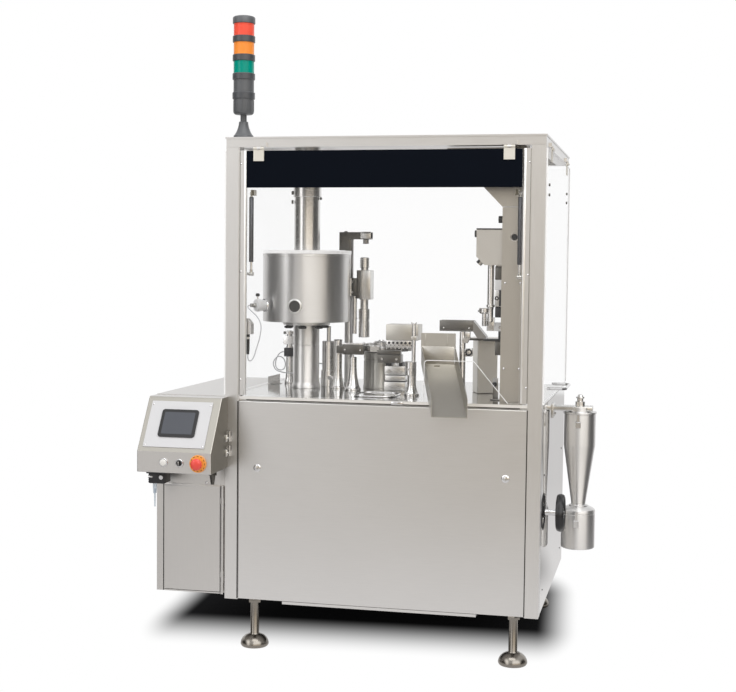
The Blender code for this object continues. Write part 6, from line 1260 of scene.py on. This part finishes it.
# The duct is belt-ground and shows its grain. Pedestal and head are bead-blasted, so they look
# even, pale and matt.
post_sheet = steel("belt_ground_304_duct", "#bfbbb4", 0.33, 0.9, "Z")
box_sheet = steel("bead_blasted_304_sheet", "#e2dfd9", 0.46, 0.8, "Z")
head_sheet = steel("bead_blasted_304_head", "#c6c3be", 0.42, 0.8, "Z")
dress(post_sheet, "duct_column")
dress(box_sheet, "feeder_pedestal")
dress(head_sheet, "feeder_head")
dress_where("feeder_pedestal", dark_block, lambda spot, facing: spot.z > 1.0885 and abs(facing.z) < 0.5)
dress_where("duct_column", black_frame, lambda spot, facing: spot.x < 0.3978 and 1.495 < spot.z < 1.535)
dress_where("feeder_head", black_frame, lambda spot, facing: spot.x < 0.3079 and spot.z > 1.44)
dress_where("feeder_head", black_frame, lambda spot, facing: spot.x < 0.3225 and spot.z < 1.3785 and facing.x < -0.1
            and abs(spot.y - 0.15) < 0.012)
break_edges(0.0016, "duct_column")
break_edges(0.0018, "feeder_head")
trim = bmesh.new()
slab(trim, at(0.3075, 0.1085, 1.48), at(0.3977, 0.201, 1.485), 0.001)
spin(trim, [(0.0, 0.0), (0.013, 0.0), (0.013, -0.002), (0.0, -0.002)], at(0.44, 0.0945, 1.455), FRONT_OUT, 32)
slab(trim, at(0.3705, 0.134, 1.3105), at(0.397, 0.1405, 1.356), 0.0012, paint=1)
slab(trim, at(0.37, 0.133, 1.2755), at(0.397, 0.1405, 1.31), 0.0012, paint=2)
slab(trim, at(0.37, 0.134, 1.2205), at(0.397, 0.1405, 1.275), 0.0012, paint=3)
spin(trim, [(0.0035, 0.0015), (0.007, 0.0015), (0.0075, 0.0), (0.0035, 0.0)], at(0.3775, 0.134, 1.247), FRONT_OUT, 24)
slab(trim, at(0.385, 0.1325, 1.2205), at(0.397, 0.134, 1.2755), 0.0006)
slab(trim, at(0.3715, 0.14, 1.181), at(0.397, 0.186, 1.22), 0.0015)
slab(trim, at(0.35, 0.17, 1.133), at(0.3975, 0.2, 1.162), 0.0015, paint=2)
slab(trim, at(0.3395, 0.169, 1.133), at(0.365, 0.2, 1.18), 0.0015, paint=3)
for x, height in ((0.347, 1.148), (0.358, 1.148), (0.386, 1.146)):
    screw(trim, at(x, 0.1692, height), FRONT_OUT, 0.0044, paint=3)
slab(trim, at(0.33, 0.16, 1.098), at(0.3975, 0.2, 1.106), 0.0008)
slab(trim, at(0.38, 0.17, 1.106), at(0.3975, 0.2, 1.133), 0.0008)
slab(trim, at(0.37, 0.165, 1.05), at(0.39, 0.195, 1.098), 0.001, paint=1)
slab(trim, at(0.399, 0.0896, 1.555), at(0.473, 0.0904, 1.5575), 0.0002, paint=2)
make_mesh("feeder_gate", trim, [black_frame, dark_block, white_moulding, ground_block])
fixings = bmesh.new()
for spot in ((0.41, 0.09, 1.01), (0.462, 0.09, 1.01), (0.41, 0.09, 1.3), (0.462, 0.09, 1.3)):
    dome(fixings, at(*spot), FRONT_OUT, 0.004)
spin(fixings, [(0.0108, 0.0006), (0.0136, 0.0006), (0.0144, 0.0), (0.0144, -0.001), (0.0108, -0.001)],
     at(0.44, 0.09, 1.455), FRONT_OUT, 32)
make_mesh("feeder_fixings", fixings, plating)
side_plate = bmesh.new()
slab(side_plate, at(0.367, 0.149, 0.8965), at(0.385, 0.153, 0.972), 0.001)
slab(side_plate, at(0.36, 0.13, 0.8965), at(0.392, 0.172, 0.9), 0.0008)
spin(side_plate, [(0.0, 0.014), (0.006, 0.0138), (0.0085, 0.012), (0.009, 0.006), (0.0075, 0.0), (0.0, 0.0)],
     at(0.374, 0.149, 0.951), FRONT_OUT, 24, paint=1)
make_mesh("deck_stop_plate", side_plate, [light_sheet, black_frame])

plunger = bmesh.new()
spin(plunger, [(0.0, 1.42), (0.0105, 1.42), (0.0115, 1.4188), (0.0115, 1.225), (0.015, 1.223), (0.015, 1.217),
               (0.0115, 1.215), (0.01, 1.205), (0.01, 1.1665), (0.0088, 1.165), (0.0, 1.165)], at(0.3535, 0.155, 0.0),
     sides=48)
spin(plunger, [(0.0, 1.199), (0.014, 1.199), (0.016, 1.211), (0.0178, 1.212), (0.019, 1.211), (0.0185, 1.198),
               (0.015, 1.1935), (0.008, 1.192), (0.008, 1.152), (0.0068, 1.15), (0.0, 1.15)], at(0.333, 0.155, 0.0),
     sides=48)
slab(plunger, at(0.333, 0.1495, 1.1955), at(0.3535, 0.1605, 1.205), 0.0012)
bar(plunger, at(0.32, 0.155, 1.203), at(0.31, 0.155, 1.201), 0.008, 0.0022)
stands_for(make_mesh("feeder_rod_turned", plunger, turned_bright, "feeder_rod_body"), "feeder_rod")


# Dust cyclone
# Spun and welded stainless, buffed bright, on an arm from the cabinet. The pot below is held
# on by toggle clips, and the outlet on top ends in a domed nut.

CYCLONE = at(0.65, 0.4, 0.0)
cyclone = bmesh.new()
spin(cyclone, [(0.0, 0.856), (0.04, 0.856), (0.04, 0.8415), (0.0415, 0.84), (0.058, 0.84), (0.059, 0.839),
               (0.059, 0.8345), (0.0578, 0.833), (0.056, 0.832), (0.056, 0.722), (0.0556, 0.7185), (0.025, 0.5085),
               (0.0255, 0.506), (0.032, 0.5045), (0.033, 0.5035), (0.033, 0.5), (0.0, 0.5)], CYCLONE, sides=96)
stands_for(make_mesh("cyclone_spun", cyclone, turned_fine), "cyclone")
arm = bmesh.new()
slab(arm, at(0.5503, 0.37, 0.844), at(0.695, 0.43, 0.86), 0.002)
slab(arm, at(0.5503, 0.365, 0.816), at(0.558, 0.435, 0.868), 0.0015)
spin(arm, [(0.0, 0.903), (0.005, 0.902), (0.009, 0.899), (0.0105, 0.894), (0.0145, 0.893), (0.015, 0.891),
           (0.015, 0.8885), (0.011, 0.886), (0.011, 0.878), (0.017, 0.876), (0.017, 0.859),
           (0.0, 0.856)], CYCLONE, sides=48, paint=1)
for y in (0.376, 0.424):
    screw(arm, at(0.558, y, 0.828), (1, 0, 0), 0.0042)
make_mesh("cyclone_arm_bolted", arm, [ground_block, turned_bright])
clips = bmesh.new()
for z_low, z_high, reach in ((0.787, 0.833, 0.0565), (0.43, 0.486, 0.0605)):
    for degrees in (268, 92):
        out = Vector((cos(radians(degrees)), sin(radians(degrees)), 0.0))
        across = Vector((-out.y, out.x, 0.0))

        def on_clip(u, v, w, out=out, across=across, reach=reach):
            return CYCLONE + out * (reach + w) + across * u + Vector((0, 0, v))

        middle = (z_low + z_high) / 2
        prism(clips, [(-0.009, z_low), (0.009, z_low), (0.009, middle), (-0.009, middle)], -0.0006, 0.0012, on_clip)
        prism(clips, [(-0.006, z_low + 0.004), (0.006, z_low + 0.004), (0.004, z_high), (-0.004, z_high)], 0.002,
              0.0042, on_clip)
        bar(clips, on_clip(-0.01, middle - 0.004, 0.003), on_clip(0.01, middle - 0.004, 0.003), 0.002, sides=16)
make_mesh("cyclone_toggle_clips", clips, plating)

pot = bmesh.new()
spin(pot, [(0.0, 0.4997), (0.033, 0.4997), (0.04, 0.4993), (0.052, 0.494), (0.0585, 0.489), (0.06, 0.484),
           (0.06, 0.478), (0.0588, 0.477), (0.0588, 0.4745), (0.06, 0.4735), (0.06, 0.356), (0.059, 0.3515),
           (0.056, 0.3492), (0.0, 0.349)], CYCLONE, sides=96)
stands_for(make_mesh("collector_pot_spun", pot, turned_fine), "collector_pot")


# Handwheel
# A black moulded wheel with a lobed grip and three spokes, on a bright shaft. Inside the
# cabinet the enamelled gearbox and motor can be seen only when the front panel is off.

WHEEL = at(0.6, 0.235, 0.5)
wheel = bmesh.new()
SECTION = 12
RIM_STEPS = 96
loops = []
for index in range(RIM_STEPS):
    angle = 2 * pi * index / RIM_STEPS
    lobe = 0.0012 * cos(8 * angle)
    loop = []
    for step in range(SECTION):
        turn = 2 * pi * step / SECTION
        radius = 0.0574 + lobe * 0.5 + (0.0078 + lobe * 0.5) * cos(turn)
        loop.append(wheel.verts.new(WHEEL + Vector((0.0135 * sin(turn), radius * cos(angle), radius * sin(angle)))))
    loops.append(loop)
for index in range(RIM_STEPS):
    here, there = loops[index], loops[(index + 1) % RIM_STEPS]
    for step in range(SECTION):
        follow = (step + 1) % SECTION
        wheel.faces.new((here[step], here[follow], there[follow], there[step]))
spin(wheel, [(0.0, 0.0105), (0.012, 0.0105), (0.0175, 0.0095), (0.02, 0.007), (0.02, -0.014), (0.018, -0.016),
             (0.0, -0.016)], WHEEL, (1, 0, 0), 40)
SPOKES = 3
for index in range(SPOKES):
    angle = 2 * pi * index / SPOKES + pi / 2
    out = Vector((0.0, cos(angle), sin(angle)))
    bar(wheel, WHEEL + out * 0.012, WHEEL + out * 0.053, 0.0085, 0.0058, sides=24)
spin(wheel, [(0.0, 0.014), (0.006, 0.0138), (0.0075, 0.0125), (0.0075, 0.01), (0.0, 0.01)], WHEEL, (1, 0, 0), 24,
     paint=1)
spin(wheel, [(0.0, -0.015), (0.011, -0.015), (0.011, -0.08), (0.0, -0.08)], WHEEL, (1, 0, 0), 32, paint=1)
stands_for(make_mesh("handwheel_moulded", wheel, [black_frame, plating], "handwheel_body"), "handwheel")
# Gearbox and motor: stoved enamel, dark grey and even.
dress(plain("stoved_grey_enamel", "#3b3d3f", 0.5), "drive_unit")
